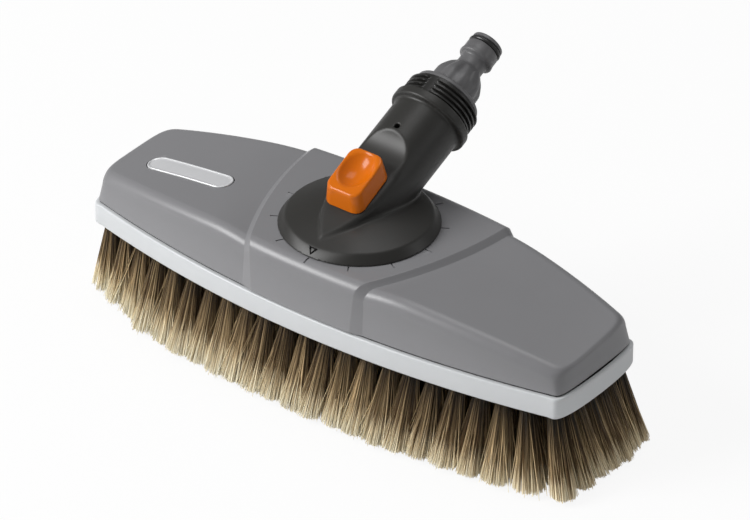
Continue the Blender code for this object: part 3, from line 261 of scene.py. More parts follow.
def join_rows(shape, lower, upper):
    """Faces between two closed rows of vertices."""
    for n in range(len(lower)):
        after = (n + 1) % len(lower)
        shape.faces.new((lower[n], lower[after], upper[after], upper[n]))


def skin_between(shape, loops, ring=False, capped=False):
    """Faces between neighbouring loops of points, from last to first in a ring, or across both ends."""
    rows = [[shape.verts.new(point) for point in loop] for loop in loops]
    for lower, upper in zip(rows, rows[1:]):
        join_rows(shape, lower, upper)
    if ring:
        join_rows(shape, rows[-1], rows[0])
    if capped:
        shape.faces.new(rows[0])
        shape.faces.new(rows[-1])
    return rows


def quarter_round(radius, turn, count=4):
    """A quarter round, as (inset, height) pairs from its middle, that turns up or down."""
    angles = [math.radians(turn * n / count) for n in range(count + 1)]
    return [(-radius * math.cos(angle), radius * math.sin(angle)) for angle in angles]


def moulded(name, colour, roughness, shade=0.06, depth=0.02, coat=0, metal=0, shine=0.5):
    """Moulded plastic or rubber: fine grain, a faint unevenness in tone, and edges rubbed paler."""
    material, tree = new_material(name)
    made, _ = makers(tree)

    def mixed(share, first, second):
        inputs = {0: share, 6: first, 7: second}
        return add_node(tree, "ShaderNodeMix", inputs, data_type="RGBA").outputs[2]

    place = add_node(tree, "ShaderNodeTexCoord").outputs["Object"]
    cloud = made("ShaderNodeTexNoise", {"Vector": place, "Scale": 38, "Detail": 4})
    grain = made("ShaderNodeTexNoise", {"Vector": place, "Scale": 1400, "Detail": 2})
    light_tone = [min(1, channel * (1 + shade)) for channel in colour]
    dark_tone = [channel * (1 - shade) for channel in colour]
    rubbed_tone = [min(1, channel * 1.4 + 0.02) for channel in colour]
    edges = add_node(tree, "ShaderNodeNewGeometry").outputs["Pointiness"]
    worn = made("ShaderNodeMapRange", {0: edges, 1: 0.53, 2: 0.62, 4: edge_wear})
    tone = mixed(cloud, (*dark_tone, 1), (*light_tone, 1))
    feed(tree, tree.nodes["Principled BSDF"], {
        "Metallic": metal,
        "Coat Weight": coat,
        "Coat Roughness": 0.12,
        "Specular IOR Level": shine,
        "Base Color": mixed(worn, tone, (*rubbed_tone, 1)),
        "Roughness": made("ShaderNodeMapRange", {0: cloud, 3: roughness - 0.04, 4: roughness + 0.06}),
        "Normal": made("ShaderNodeBump", {"Strength": 0.35, "Distance": depth * MM, "Height": grain}),
    })
    return material


plate_plastic = moulded("plate_plastic", (0.575, 0.590, 0.602), 0.36, shade=0.02, depth=0.01)
upper_edge = quarter_round(plate_rounding, 90)[::-1]
lower_edge = quarter_round(plate_rounding, -90)
outline = [(plate_rounding + inset, plate_high.z - plate_rounding + height) for inset, height in upper_edge]
outline += [(plate_rounding + inset, plate_low.z + plate_rounding + height) for inset, height in lower_edge]
outline += [
    (plate_well_wall - well_edge, plate_low.z),
    (plate_well_wall, plate_low.z + well_edge),
    (plate_well_wall, plate_low.z + plate_well_depth),
]
shape = bmesh.new()
skin_between(shape, [plate_loop(inset, height) for inset, height in outline], capped=True)
plate = add_piece("pale_plate", shape, plate_plastic, "head")
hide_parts("bristle_plate")


# Bristles. Natural boar bristle in round tufts, stapled in rows into five backing strips that are
# pressed into the plate's well. The outer rows lean out, and the cut ends are uneven and paler.
bristle_length = plate_low.z
tuft_columns, tuft_rows = 23, 7
tuft_inset = 7.2 * MM
tuft_end_gap = 2.5 * MM
tuft_radius = 2.9 * MM
tuft_depth = 1 * MM
side_flare, back_flare = 9.6 * MM, 1 * MM
left_flare, right_flare = 4 * MM, 15.6 * MM
front_settles = 0.3  # the left share of the brush over which the front's lean builds up
strip_names = ("left_end", "left", "middle", "right", "right_end")
strip_hairs, quick_share = 12600, 12
hair_root_radius, hair_tip_radius = 0.18 * MM, 0.16 * MM
hair_stray, stray_rarity = 7 * MM, 12
hair_ripple, ripple_turn = 0.5 * MM, 4.2
locks, tone_rarity = 5, 2.6
backing_height, backing_gap = 2 * MM, 0.1 * MM
backing_seam, backing_side, backing_corner = 0.15 * MM, 0.5 * MM, 3 * MM
# painted shade and light: both ramps run near black at the roots for the shade among the crowded tufts, and
# up to near white at the tips for light shining through the hair; the tips are also paler of their own
dark_hair = (
    (0, (0.012, 0.008, 0.004)), (0.3, (0.055, 0.032, 0.013)), (0.62, (0.140, 0.082, 0.033)),
    (0.78, (0.82, 0.67, 0.43)), (1, (1, 0.93, 0.72)),
)
light_hair = (
    (0, (0.070, 0.048, 0.026)), (0.3, (0.50, 0.35, 0.18)), (0.62, (0.88, 0.67, 0.38)),
    (0.78, (1, 0.90, 0.64)), (1, (1, 0.96, 0.80)),
)


def hair_colour():
    """Boar hair: straw brown along and cream at the cut tips, with painted shade darkening the roots among
    the tufts and painted light brightening the tips.
    """
    material, tree = new_material("bristle_hair")
    made, sums = makers(tree)
    along, tone, shift = (
        add_node(tree, "ShaderNodeAttribute", attribute_name=name).outputs["Fac"]
        for name in ("hair_share", "hair_tone", "hair_shift")
    )
    mixed = {0: tone}
    for number, shades in enumerate((dark_hair, light_hair)):
        ramp = add_node(tree, "ShaderNodeValToRGB", {0: sums("ADD")(along, shift)})
        ends = ramp.color_ramp.elements
        while len(ends) < len(shades):
            ends.new(0.5)
        for element, (place, colour) in zip(ends, shades):
            element.position = place
            element.color = (*colour, 1)
        mixed[6 + number] = ramp.outputs[0]
    place = add_node(tree, "ShaderNodeTexCoord").outputs["Object"]
    scales = made("ShaderNodeTexNoise", {"Scale": 2400, "Vector": place})
    feed(tree, tree.nodes["Principled BSDF"], {
        "Specular IOR Level": 0.4,
        "Base Color": add_node(tree, "ShaderNodeMix", mixed, data_type="RGBA").outputs[2],
        "Roughness": made("ShaderNodeMapRange", {0: tone, 3: 0.36, 4: 0.52}),
        "Normal": made("ShaderNodeBump", {"Strength": 0.3, "Distance": 0.02 * MM, "Height": scales}),
    })
    return material


def new_growth(name, sizes, takes_mesh=True):
    """An empty node tree with its sizes as named inputs, and its input node's sockets."""
    tree = bpy.data.node_groups.new(name, "GeometryNodeTree")
    face = tree.interface
    if takes_mesh:
        face.new_socket("Geometry", in_out="INPUT", socket_type="NodeSocketGeometry")
    for label, value in sizes.items():
        kind = "NodeSocketInt" if isinstance(value, int) else "NodeSocketFloat"
        face.new_socket(label, in_out="INPUT", socket_type=kind).default_value = value
    face.new_socket("Geometry", in_out="OUTPUT", socket_type="NodeSocketGeometry")
    return tree, add_node(tree, "NodeGroupInput").outputs


def hair_tree(material):
    """Geometry nodes that grow a bundle of bent, tapered hairs from each tuft's point."""
    tree, sizes = new_growth("tuft_of_hair", {
        "Hairs": 200,
        "Length": bristle_length,
        "Uneven ends": 0.6 * MM,
        "Tuft radius": tuft_radius,
        "Spread": 5.1 * MM,
        "Rounded ends": 1.9 * MM,
        "Root radius": hair_root_radius,
        "Tip radius": hair_tip_radius,
        "Seed": 0,
    })
    made, sums = makers(tree)
    plus, less, times, power = (sums(name) for name in ("ADD", "SUBTRACT", "MULTIPLY", "POWER"))

    def chance(low, high, salt):
        """A random number for each hair, from its own id."""
        inputs = {2: low, 3: high, "Seed": plus(sizes["Seed"], salt)}
        return add_node(tree, "FunctionNodeRandomValue", inputs, data_type="FLOAT").outputs[1]

    def vector(x, y, z):
        return made("ShaderNodeCombineXYZ", {0: x, 1: y, 2: z})

    def scaled(first, size):
        return made("ShaderNodeVectorMath", {0: first, "Scale": size}, operation="SCALE")

    def store(geometry, name, value, kind="FLOAT"):
        inputs = {"Geometry": geometry, "Name": name, "Value": value}
        return made("GeometryNodeStoreNamedAttribute", inputs, data_type=kind, domain="POINT")

    def named(name, kind="FLOAT"):
        return made("GeometryNodeInputNamedAttribute", {0: name}, data_type=kind)

    points = made("GeometryNodeMeshToPoints", {0: sizes["Geometry"]})
    many = {"Geometry": points, "Amount": sizes["Hairs"]}
    many = made("GeometryNodeDuplicateElements", many, domain="POINT")
    turn = chance(0, math.tau, 1)
    reach = sums("SQRT")(chance(0, 1, 2))
    across_x = times(sums("COSINE")(turn), reach)
    across = vector(across_x, times(sums("SINE")(turn), reach), 0)
    cut = times(chance(-1, 0.5, 3), sizes["Uneven ends"])
    cut = less(cut, times(power(reach, 2), sizes["Rounded ends"]))
    stray = times(power(chance(0, 1, 6), stray_rarity), named("looseness"))
    wander = vector(chance(-1, 1, 4), times(chance(-1, 1, 5), 0.3), 0)
    wander = scaled(wander, plus(0.1, stray))
    # a hair's tone: mostly dark, in locks round the tuft, paler when astray, and darker on the flanks as
    # painted shade where the tufts meet
    lock = sums("SINE")(plus(times(turn, locks), times(named("tuft_tone"), 40)))
    tone = plus(power(chance(0, 1, 7), tone_rarity), times(lock, 0.2))
    tone = less(plus(tone, 0.1), times(power(across_x, 2), 0.4))
    tone = plus(plus(tone, times(stray, 0.7)), named("tuft_tone"))
    wave = vector(chance(-1, 1, 8), chance(-1, 1, 9), 0)
    # painted shade: the hair's ramp shifts darker towards the brush's right end, plus a little chance
    shift = plus(named("bleach"), chance(-0.1, 0.1, 11))
    for name, value in (("cut", cut), ("hair_tone", tone), ("hair_shift", shift)):
        many = store(many, name, value)
    for name, value in (("across", across), ("wander", wander), ("wave", wave)):
        many = store(many, name, value, "FLOAT_VECTOR")
    hair = made("GeometryNodeCurvePrimitiveLine")
    hair = made("GeometryNodeResampleCurve", {0: hair, "Count": 3})
    hairs = made("GeometryNodeInstanceOnPoints", {"Points": many, "Instance": hair})
    hairs = made("GeometryNodeRealizeInstances", {0: hairs})
    along = add_node(tree, "GeometryNodeSplineParameter").outputs["Factor"]
    hairs = store(hairs, "hair_share", along)
    share = named("hair_share")
    bend = power(share, 1.15)
    spot = add_node(tree, "ShaderNodeSeparateXYZ", {0: made("GeometryNodeInputPosition")}).outputs
    length = plus(sizes["Length"], named("cut"))
    place = vector(spot[0], spot[1], less(less(spot[2], share), times(length, share)))
    spread = times(sizes["Spread"], named("fullness"))
    for name, size in (
        ("across", plus(sizes["Tuft radius"], times(bend, spread))),
        ("lean", bend),
        ("wander", times(bend, hair_stray)),
        ("wave", times(sums("SINE")(times(share, ripple_turn)), hair_ripple)),
    ):
        offset = scaled(named(name, "FLOAT_VECTOR"), size)
        place = made("ShaderNodeVectorMath", {0: place, 1: offset}, operation="ADD")
    hairs = made("GeometryNodeSetPosition", {0: hairs, "Position": place})
    taper = made("ShaderNodeMapRange", {0: share, 3: sizes["Root radius"], 4: sizes["Tip radius"]})
    hairs = made("GeometryNodeSetCurveRadius", {0: hairs, "Radius": taper})
    section = made("GeometryNodeCurvePrimitiveCircle", {"Resolution": 3, "Radius": 1})
    tube = add_node(tree, "GeometryNodeCurveToMesh", {0: hairs, 1: section, "Fill Caps": True})
    if "Scale" in tube.inputs:
        feed(tree, tube, {"Scale": made("GeometryNodeInputRadius")})
    whole = made("GeometryNodeRealizeInstances", {0: tube.outputs[0]})
    whole = made("GeometryNodeSetMaterial", {0: whole, "Material": material})
    add_node(tree, "NodeGroupOutput", {0: whole})
    return tree


def evaluated_mesh(thing):
    """The mesh that an object's modifiers make."""
    bpy.context.view_layer.update()
    return bpy.data.meshes.new_from_object(thing.evaluated_get(bpy.context.evaluated_depsgraph_get()))


def grown_mesh(name, source, tree, **sizes):
    """The mesh that a node tree makes of a source mesh, with values for some of its inputs."""
    grower = add_object(f"{name}_source", source)
    growth = grower.modifiers.new("growth", "NODES")
    growth.node_group = tree
    for label, value in sizes.items():
        growth[tree.interface.items_tree[label].identifier] = value
    grower.update_tag()
    mesh = evaluated_mesh(grower)
    mesh.name = name
    bpy.data.objects.remove(grower)
    return mesh


hair_nodes = hair_tree(hair_colour())
tuft_span = plate_length - 2 * (tuft_inset + tuft_end_gap)
tuft_places = [plate_middle_x + tuft_span * (n / (tuft_columns - 1) - 0.5) for n in range(tuft_columns)]
# The strips' near-black colour is painted shade for the dark gaps between the tufts' roots.
backing_material = moulded("bristle_backing", (0.030, 0.027, 0.022), 0.6)
chance = random.Random(7)


def shaken(value, reach):
    """A value moved by chance, up to a reach either way."""
    return value + chance.uniform(-reach, reach)


for number, name in enumerate(strip_names):
    strip_low, strip_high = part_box(f"bristles_{name}")
    first = round(tuft_columns * number / len(strip_names))
    last = round(tuft_columns * (number + 1) / len(strip_names))
    tufts = []
    for column in range(first, last):
        x = tuft_places[column]
        reach = half_width(x - plate_middle_x, tuft_inset)
        end_share = (x - plate_middle_x) / (tuft_span / 2)
        flare = right_flare if end_share > 0 else left_flare
        settled = min(1, (1 + end_share) / front_settles)
        at_end = column in (0, tuft_columns - 1)
        for row in range(tuft_rows):
            side = 2 * row / (tuft_rows - 1) - 1
            out_flare = back_flare if side > 0 else -side_flare * settled
            y = swivel_y + side * reach
            start = (shaken(x, 0.5 * MM), shaken(y, 0.4 * MM), bristle_length + tuft_depth)
            # only the outermost columns and rows lean out much
            end_lean = math.copysign(abs(end_share) ** 5, end_share) * flare * (1 - 0.25 * side**2)
            lean = (shaken(end_lean, 1.3 * MM), shaken(out_flare * abs(side) ** 2.2, 0.8 * MM), 0)
            tone = chance.uniform(-0.16, 0.2)
            looseness = 0.1 if at_end else 1
            fullness = 0.55 if column == tuft_columns - 1 else 1
            # painted shade: the tufts darken towards the right end
            bleach = -0.03 - 0.05 * end_share - 0.06 * max(0, end_share) ** 3
            # the outer tufts are what is seen, so they hold twice the hair
            twice = 2 if at_end or row in (0, tuft_rows - 1) else 1
            tufts += [(start, lean, tone, looseness, fullness, bleach)] * twice
    starts, leans, *values = zip(*tufts)
    roots = bpy.data.meshes.new(f"hair_roots_{name}")
    roots.from_pydata(starts, [], [])
    leaning = roots.attributes.new("lean", "FLOAT_VECTOR", "POINT")
    leaning.data.foreach_set("vector", [value for lean in leans for value in lean])
    for label, numbers in zip(("tuft_tone", "looseness", "fullness", "bleach"), values):
        roots.attributes.new(label, "FLOAT", "POINT").data.foreach_set("value", numbers)
    hairs = strip_hairs // len(tufts)
    hair = grown_mesh(f"hair_{name}", roots, hair_nodes, Hairs=hairs, Seed=10 * number)
    hair = add_object(f"hair_{name}", hair, "head")
    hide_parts(f"bristles_{name}")

    low_x = strip_low.x if number == 0 else (tuft_places[first - 1] + tuft_places[first]) / 2
    high_x = strip_high.x if number == 4 else (tuft_places[last - 1] + tuft_places[last]) / 2
    limit = plate_length / 2 - plate_corner + backing_corner
    low_x = max(low_x, plate_middle_x - limit) + backing_seam
    high_x = min(high_x, plate_middle_x + limit) - backing_seam
    stations = [low_x + (high_x - low_x) * n / 20 for n in range(21)]
    backing = []
    for height in (backing_gap, backing_gap + backing_height):
        loop = []
        for side, order in ((-1, stations), (1, stations[::-1])):
            for x in order:
                reach = half_width(x - plate_middle_x, plate_well_wall + backing_side)
                loop.append(Vector((x, swivel_y + side * reach, bristle_length + height)))
        backing.append(loop)
    strip = bmesh.new()
    skin_between(strip, backing, capped=True)
    add_piece(f"backing_{name}", strip, backing_material, "head")


# Cover. One grey moulded shell over the plate: leaning walls, rounded shoulders, a crowned top with a
# flat-nosed end and a raised level deck whose edge is a curved step. Twelve ticks ring the swivel.
cover_low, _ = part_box("top_cover")
cover_foot = cover_low.z + 0.6 * MM
cover_ledge, end_ledge = 1.45 * MM, 2.3 * MM
cover_wall = 2.5 * MM
cover_draft = 1 * MM
cover_shoulder = 5.8 * MM
cover_crown = plate_high.z + 25.8 * MM
cover_fall = 12.1 * MM
cover_crease, crease_round = 3.5 * MM, 1.6 * MM
right_dip = 3.6 * MM
top_corner, foot_corner = 9.6 * MM, 3.9 * MM
deck_proud = 1.2 * MM
step_width, step_widening = 3 * MM, 0.8
step_height, step_runout = 2.3 * MM, 22 * MM
step_reach, step_middle, step_arc = 54.8 * MM, 47.2 * MM, 159 * MM
tail_parts, step_parts, deck_parts, shoulder_parts = 60, 12, 30, 12
tail_seam, deck_seam = 0.003, 0.996  # narrow strips that keep the step's two edges crisp
tick_count = 12
tick_start, tick_end = 35.4 * MM, 39.4 * MM
tick_width, tick_depth = 0.8 * MM, 0.5 * MM
neck_radius = 15.5 * MM
neck_low, neck_high = -8 * MM, 3 * MM
deck_flat = plate_width / 2 - cover_ledge - cover_draft - cover_shoulder + deck_proud


def cover_columns():
    """Places along the cover as (side, share of the deck, of the step and of the tail)."""
    half = [(1, 1, n / step_parts, 0) for n in range(1, step_parts + 1)] + [(1, 1, 1, tail_seam)]
    half += [(1, 1, 1, n / tail_parts) for n in range(1, tail_parts + 1)]
    deck = [n / deck_parts for n in range(1 - deck_parts, deck_parts)]
    deck = [(1, place, 0, 0) for place in [-1, -deck_seam] + deck + [deck_seam, 1]]
    return [(-1, *place) for _, *place in reversed(half)] + deck + half


def crown_at(x):
    """Height of the crowned top at a place along the brush from its middle."""
    return cover_crown - cover_fall * (x / (plate_length / 2)) ** 2


def cover_point(column, share, inset, fall, margin):
    """A point on the cover's wall, shoulder or top, and the top's height there. No fall is the foot."""
    side, deck, step, tail = column
    raised = 1 - step
    drop_share = 1 if fall is None else min(1, fall / (cover_crown - cover_foot))
    corner = top_corner + (foot_corner - top_corner) * drop_share
    band = step_width * (1 + step_widening * drop_share)
    crease = plate_length / 2 - cover_crease - margin - corner * (1 - end_swell(share))
    if fall is not None and fall < crease_round:
        crease -= crease_round * (1 - math.sqrt(fall / crease_round)) ** 2 * end_swell(share)
    y = 0
    for _ in range(5):  # x and y hang on each other and settle in a few rounds
        line = step_reach - (step_middle - y) ** 2 / (2 * step_arc)
        x = deck * (line - band / 2) + step * band
        x += tail * (crease - line - band / 2)
        y = share * half_width(x, cover_ledge + inset - deck_proud * raised)
    lower = max(0, step_height - deck_top + crown_at(line))
    crown = crown_at(x) - lower * max(0, 1 - max(0, x - line) / step_runout) ** 2
    if side > 0:
        crown -= right_dip * max(0, x / (plate_length / 2)) ** 3 * (1 - share) / 2
    top = crown + (deck_top - crown) * raised - margin
    height = cover_foot if fall is None else top - fall
    return Vector((plate_middle_x + side * x, swivel_y + y, height)), top


def cover_end_point(side, share, inset, fall, margin):
    """A point on the leaning end, which stands out furthest at its foot."""
    base, top = cover_point((side, 1, 1, 1), side * share, inset, fall, margin)
    reach = (cover_crease - end_ledge) * (top - base.z) / (top - cover_foot)
    base.x += side * reach * end_swell(share) * (1 - plate_bulge / plate_corner * share**2)
    return base


def cover_skin(shape, margin, end_steps=44):
    """The cover's outer face, or its hollow's where the margin is the wall. Returns the foot's loop."""
    columns = cover_columns()
    ends = end_shares(end_steps)
    levels = [(margin, None)]
    for n in range(shoulder_parts + 1):
        turn = math.radians(90 * n / shoulder_parts)
        level_inset = margin + cover_draft + cover_shoulder * (1 - math.cos(turn))
        levels.append((level_inset, cover_shoulder * (1 - math.sin(turn))))
    loops = []
    for inset, fall in levels:
        loop = [cover_point(column, -1, inset, fall, margin)[0] for column in columns]
        loop += [cover_end_point(1, share, inset, fall, margin) for share in ends]
        loop += [cover_point(column, 1, inset, fall, margin)[0] for column in reversed(columns)]
        loops.append(loop + [cover_end_point(-1, share, inset, fall, margin) for share in ends])
    rows = skin_between(shape, loops)
    edge = rows[-1]
    count, across = len(columns), len(ends)
    right_end = edge[count:count + across]
    back_side = edge[2 * count + across - 1:count + across - 1:-1]
    left_end = edge[:-across - 1:-1]
    grid = []
    for number, column in enumerate(columns):
        if number == 0:
            middle = left_end
        elif number == count - 1:
            middle = right_end
        else:
            middle = [shape.verts.new(cover_point(column, share, inset, fall, margin)[0]) for share in ends]
        grid.append([edge[number], *middle, back_side[number]])
    for here, beside in zip(grid, grid[1:]):
        for row in range(across + 1):
            shape.faces.new((here[row], beside[row], beside[row + 1], here[row + 1]))
    return rows[0]


def tick_cutters():
    """Geometry nodes: a bar at each place of a ring, bent down where the deck's shoulder falls."""
    tree, sizes = new_growth("ring_of_ticks", {
        "Count": tick_count,
        "Ring radius": (tick_start + tick_end) / 2,
        "Length": tick_end - tick_start,
        "Width": tick_width,
        "Depth": tick_depth,
        "Flat reach": deck_flat,
        "Shoulder": cover_shoulder,
    }, takes_mesh=False)
    made, sums = makers(tree)
    less, power = sums("SUBTRACT"), sums("POWER")
    ring = {"Resolution": sizes["Count"], "Radius": sizes["Ring radius"]}
    ring = made("GeometryNodeCurvePrimitiveCircle", ring)
    size = {0: sizes["Width"], 1: sizes["Length"], 2: sums("MULTIPLY")(sizes["Depth"], 2)}
    size = made("ShaderNodeCombineXYZ", size)
    bar = made("GeometryNodeMeshCube", {"Size": size, "Vertices Y": 14})
    place = made("GeometryNodeInputPosition")
    turn = made("FunctionNodeAlignRotationToVector", {"Vector": place}, axis="Y")
    bars = made("GeometryNodeInstanceOnPoints", {"Points": ring, "Instance": bar, "Rotation": turn})
    bars = made("GeometryNodeRealizeInstances", {0: bars})
    far = sums("ABSOLUTE")(add_node(tree, "ShaderNodeSeparateXYZ", {0: place}).outputs[1])
    over = sums("MAXIMUM")(less(far, sizes["Flat reach"]), 0)
    over = sums("MINIMUM")(over, sizes["Shoulder"])
    drop = sums("SQRT")(less(power(sizes["Shoulder"], 2), power(over, 2)))
    drop = made("ShaderNodeCombineXYZ", {2: less(drop, sizes["Shoulder"])})
    bars = made("GeometryNodeSetPosition", {0: bars, "Offset": drop})
    add_node(tree, "NodeGroupOutput", {0: made("GeometryNodeSetMaterial", {0: bars})})
    return tree


def carve(piece, *cutters):
    """Cuts meshes out of a piece for good."""
    for cutter in cutters:
        tool = add_object("cutter", cutter)
        cut = piece.modifiers.new("cut", "BOOLEAN")
        cut.operation, cut.solver, cut.object = "DIFFERENCE", "EXACT", tool
        mesh = evaluated_mesh(piece)
        piece.modifiers.clear()
        piece.data = mesh
        bpy.data.objects.remove(tool)


cover_plastic = moulded("cover_plastic", (0.203, 0.202, 0.210), 0.35, shade=0.025, depth=0.012)
shape = bmesh.new()
join_rows(shape, cover_skin(shape, 0), cover_skin(shape, cover_wall))
cover = add_piece("grey_cover", shape, cover_plastic, "head")
deck_middle = Vector((swivel_x, swivel_y, deck_top))
neck = bmesh.new()
bmesh.ops.create_cone(
    neck, cap_ends=True, segments=64, radius1=neck_radius, radius2=neck_radius, depth=neck_high - neck_low,
    matrix=Matrix.Translation(deck_middle + Vector((0, 0, (neck_low + neck_high) / 2))),
)
ticks = grown_mesh("ticks", bpy.data.meshes.new("ticks"), tick_cutters())
ticks.transform(Matrix.Translation(deck_middle))
carve(cover, as_mesh("neck", neck), ticks)
soften_by_angle(cover.data, 50)
cover.data.materials.clear()
cover.data.materials.append(cover_plastic)
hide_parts("top_cover")


# Badge. A bare silver plate with round ends, pressed from thin metal with a raised rim and let into
# the cover's left top.
badge_low, badge_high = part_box("badge")
badge_length, badge_width = 46 * MM, 11.2 * MM
badge_gap, badge_seat = 0.5 * MM, 1 * MM
badge_forward = 2.2 * MM
badge_x = (badge_low.x + badge_high.x) / 2
badge_y = (badge_low.y + badge_high.y) / 2 - badge_forward
badge_end_parts, badge_side_parts = 40, 16
badge_profile = (
    (0.05, -0.9), (0, 0), (0.08, 0.2), (0.3, 0.38), (0.6, 0.36), (0.85, 0.16), (1.05, 0), (1.8, -0.02),
    (3, 0.04), (4.4, 0.06),
)


def pill_loop(inset, height):
    """The badge's outline moved in, at a height over the crowned top."""
    outline = []
    radius = badge_width / 2 - inset
    straight = (badge_length - badge_width) / 2
    for end in (1, -1):
        for n in range(badge_end_parts + 1):
            angle = math.radians(180 * n / badge_end_parts - 90 * end)
            outline.append((end * straight + radius * math.cos(angle), radius * math.sin(angle)))
        for n in range(1, badge_side_parts):
            outline.append((end * straight * (1 - 2 * n / badge_side_parts), end * radius))
    return [
        Vector((badge_x + x, badge_y + y, crown_at(badge_x + x - plate_middle_x) + height))
        for x, y in outline
    ]


def close_pill(shape, loop):
    """Faces across a pill's loop, from side to side."""
    count = len(loop)
    tip = badge_end_parts // 2
    for n in range(count // 2):
        corners = [loop[(tip + n) % count], loop[(tip + 1 + n) % count], loop[tip - 1 - n], loop[tip - n]]
        corners = list(dict.fromkeys(corners))
        if len(corners) > 2:
            shape.faces.new(corners)


seat = bmesh.new()
for row in skin_between(seat, [pill_loop(-badge_gap, height) for height in (-badge_seat, badge_seat)]):
    close_pill(seat, row)
carve(cover, as_mesh("seat", seat))
badge_silver = moulded("badge_silver", (0.72, 0.725, 0.74), 0.3, shade=0.10, metal=0.35)
shape = bmesh.new()
rows = skin_between(shape, [pill_loop(inset * MM, height * MM) for inset, height in badge_profile])
close_pill(shape, rows[0])
close_pill(shape, rows[-1])
badge = add_piece("silver_plate", shape, badge_silver, "head", crease=60)
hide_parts("badge")


# Stem. One dark moulding that turns on the cover: a domed disc, and a leaning tube with a pointed
# prow, a flat pocket for the thumb slide, a scoop behind it and a flange at the top. The sizes are in
# mm over the deck or along the stem.
stem_lean = math.radians(22.4)
lean_cos, lean_sin = math.cos(stem_lean), math.sin(stem_lean)
stem_rise = 7.4
stem_root = Vector((swivel_x, swivel_y, deck_top + stem_rise * MM))
stem_axis = Vector((0, lean_cos, lean_sin))
stem_radius, stem_wall = 16.5, 2.4
prow_places = (-28.4, -25.1, -21.8, -17.4, -12.9, -7.3, -0.9, 6, 12, 20, 26)
prow_widths = (0, 2.7, 4.9, 7.5, 9.7, 11.7, 13.6, 15, 16.2, 17.6, 19.5)
prow_draft, prow_level = 0.12, 5
steep_places, prow_steepness = (-28, -20, -8, 4, 20), (1.3, 1.17, 1.06, 1.02, 1)
disc_radius, disc_top_radius = 35.9, 32.6
disc_foot, disc_rim, dome_rise = 0.3, 4.4, 6.3
flange_start, flange_end, flange_radius = 52, 56.5, 18.9
pocket_floor, pocket_slope, pocket_wall = 11.7, 0.042, 2.6
edge_places, edge_blends = (-30, 14, 22), (2.6, 2.2, 0.7)
scoop_start, scoop_arc, scoop_run = 21, 17.1, 12.2
bore_radius, bore_start = 4.8, 10
vent_place, vent_radius, vent_floor = 35.7, 1.3, 13
peg_half_width, peg_start, peg_end, peg_floor = 2.5, -4.3, 9.3, 4
stem_cell = 0.5


def soft_max(first, second, blend):
    """The larger of two distances, rounded by the blend where they meet. It leaves a soft edge."""
    near = np.clip(0.5 + 0.5 * (first - second) / blend, 0, 1)
    return second + (first - second) * near + blend * near * (1 - near)


def soft_min(first, second, blend):
    """The smaller of two distances, filleted where they meet."""
    return -soft_max(-first, -second, blend)


def along_stem(points):
    """Points over the deck as (x, height over the stem's axis, place along it)."""
    x, y, z = points
    rise = z - stem_rise
    return x, rise * lean_cos - y * lean_sin, y * lean_cos + rise * lean_sin


def stem_outside(points):
    """Distance to the disc and tube, without the pocket."""
    x, y, z = points
    far = np.hypot(x, y)
    slope = (disc_radius - disc_top_radius) / disc_rim
    side = (far - disc_radius + (z - disc_foot) * slope) / math.hypot(1, slope)
    dome = disc_foot + disc_rim + dome_rise * (1 - (far / disc_top_radius) ** 2)
    steep = 2 * dome_rise * far / disc_top_radius**2
    disc = soft_max(side, (z - dome) / np.hypot(1, steep), 0.4)
    across, height, along = along_stem(points)
    rho = np.hypot(across, height)
    width = np.interp(along, prow_places, prow_widths) - prow_draft * (height - prow_level)
    steep = np.interp(along, steep_places, prow_steepness)
    prow = np.maximum(abs(across) - width, prow_places[0] - along) / steep
    tube = soft_max(rho - stem_radius, prow, 2.5)
    tube = soft_max(tube, along - flange_end, 0.3)
    flange = soft_max(rho - flange_radius, flange_start - along, 1.3)
    flange = soft_max(flange, along - flange_end, 0.5)
    return soft_min(disc, soft_min(tube, flange, 1.6), 1.6)


def floor_of(along):
    """Height of the pocket's floor and scoop over the stem's axis, and how steep it is."""
    reach = np.clip(along - scoop_start, 0, scoop_run)
    drop = np.sqrt(scoop_arc**2 - reach**2)
    floor = pocket_floor + pocket_slope * np.minimum(0, along - scoop_start) + scoop_arc - drop
    return floor + np.maximum(0, along - scoop_start - scoop_run), reach / drop


def stem_form(points):
    """Distance to the finished moulding, hollow inside."""
    across, height, along = along_stem(points)
    outside = stem_outside(points)
    floor, steep = floor_of(along)
    above = (height - floor) / np.hypot(1, steep)
    form = soft_max(outside, above, np.interp(along, edge_places, edge_blends))
    hollow = soft_max(outside, height - pocket_floor + pocket_wall, 0.8) + stem_wall
    form = np.maximum(form, -hollow)
    bore = np.hypot(across, height) - bore_radius
    form = np.maximum(form, -np.maximum(bore, bore_start - along))
    vent = np.hypot(across, along - vent_place) - vent_radius
    form = soft_max(form, -np.maximum(vent, vent_floor - height), 0.4)
    peg = np.maximum(abs(across) - peg_half_width, np.maximum(peg_start - along, along - peg_end))
    form = np.maximum(form, -np.maximum(peg, peg_floor - height))
    return np.maximum(form, disc_foot - points[2])


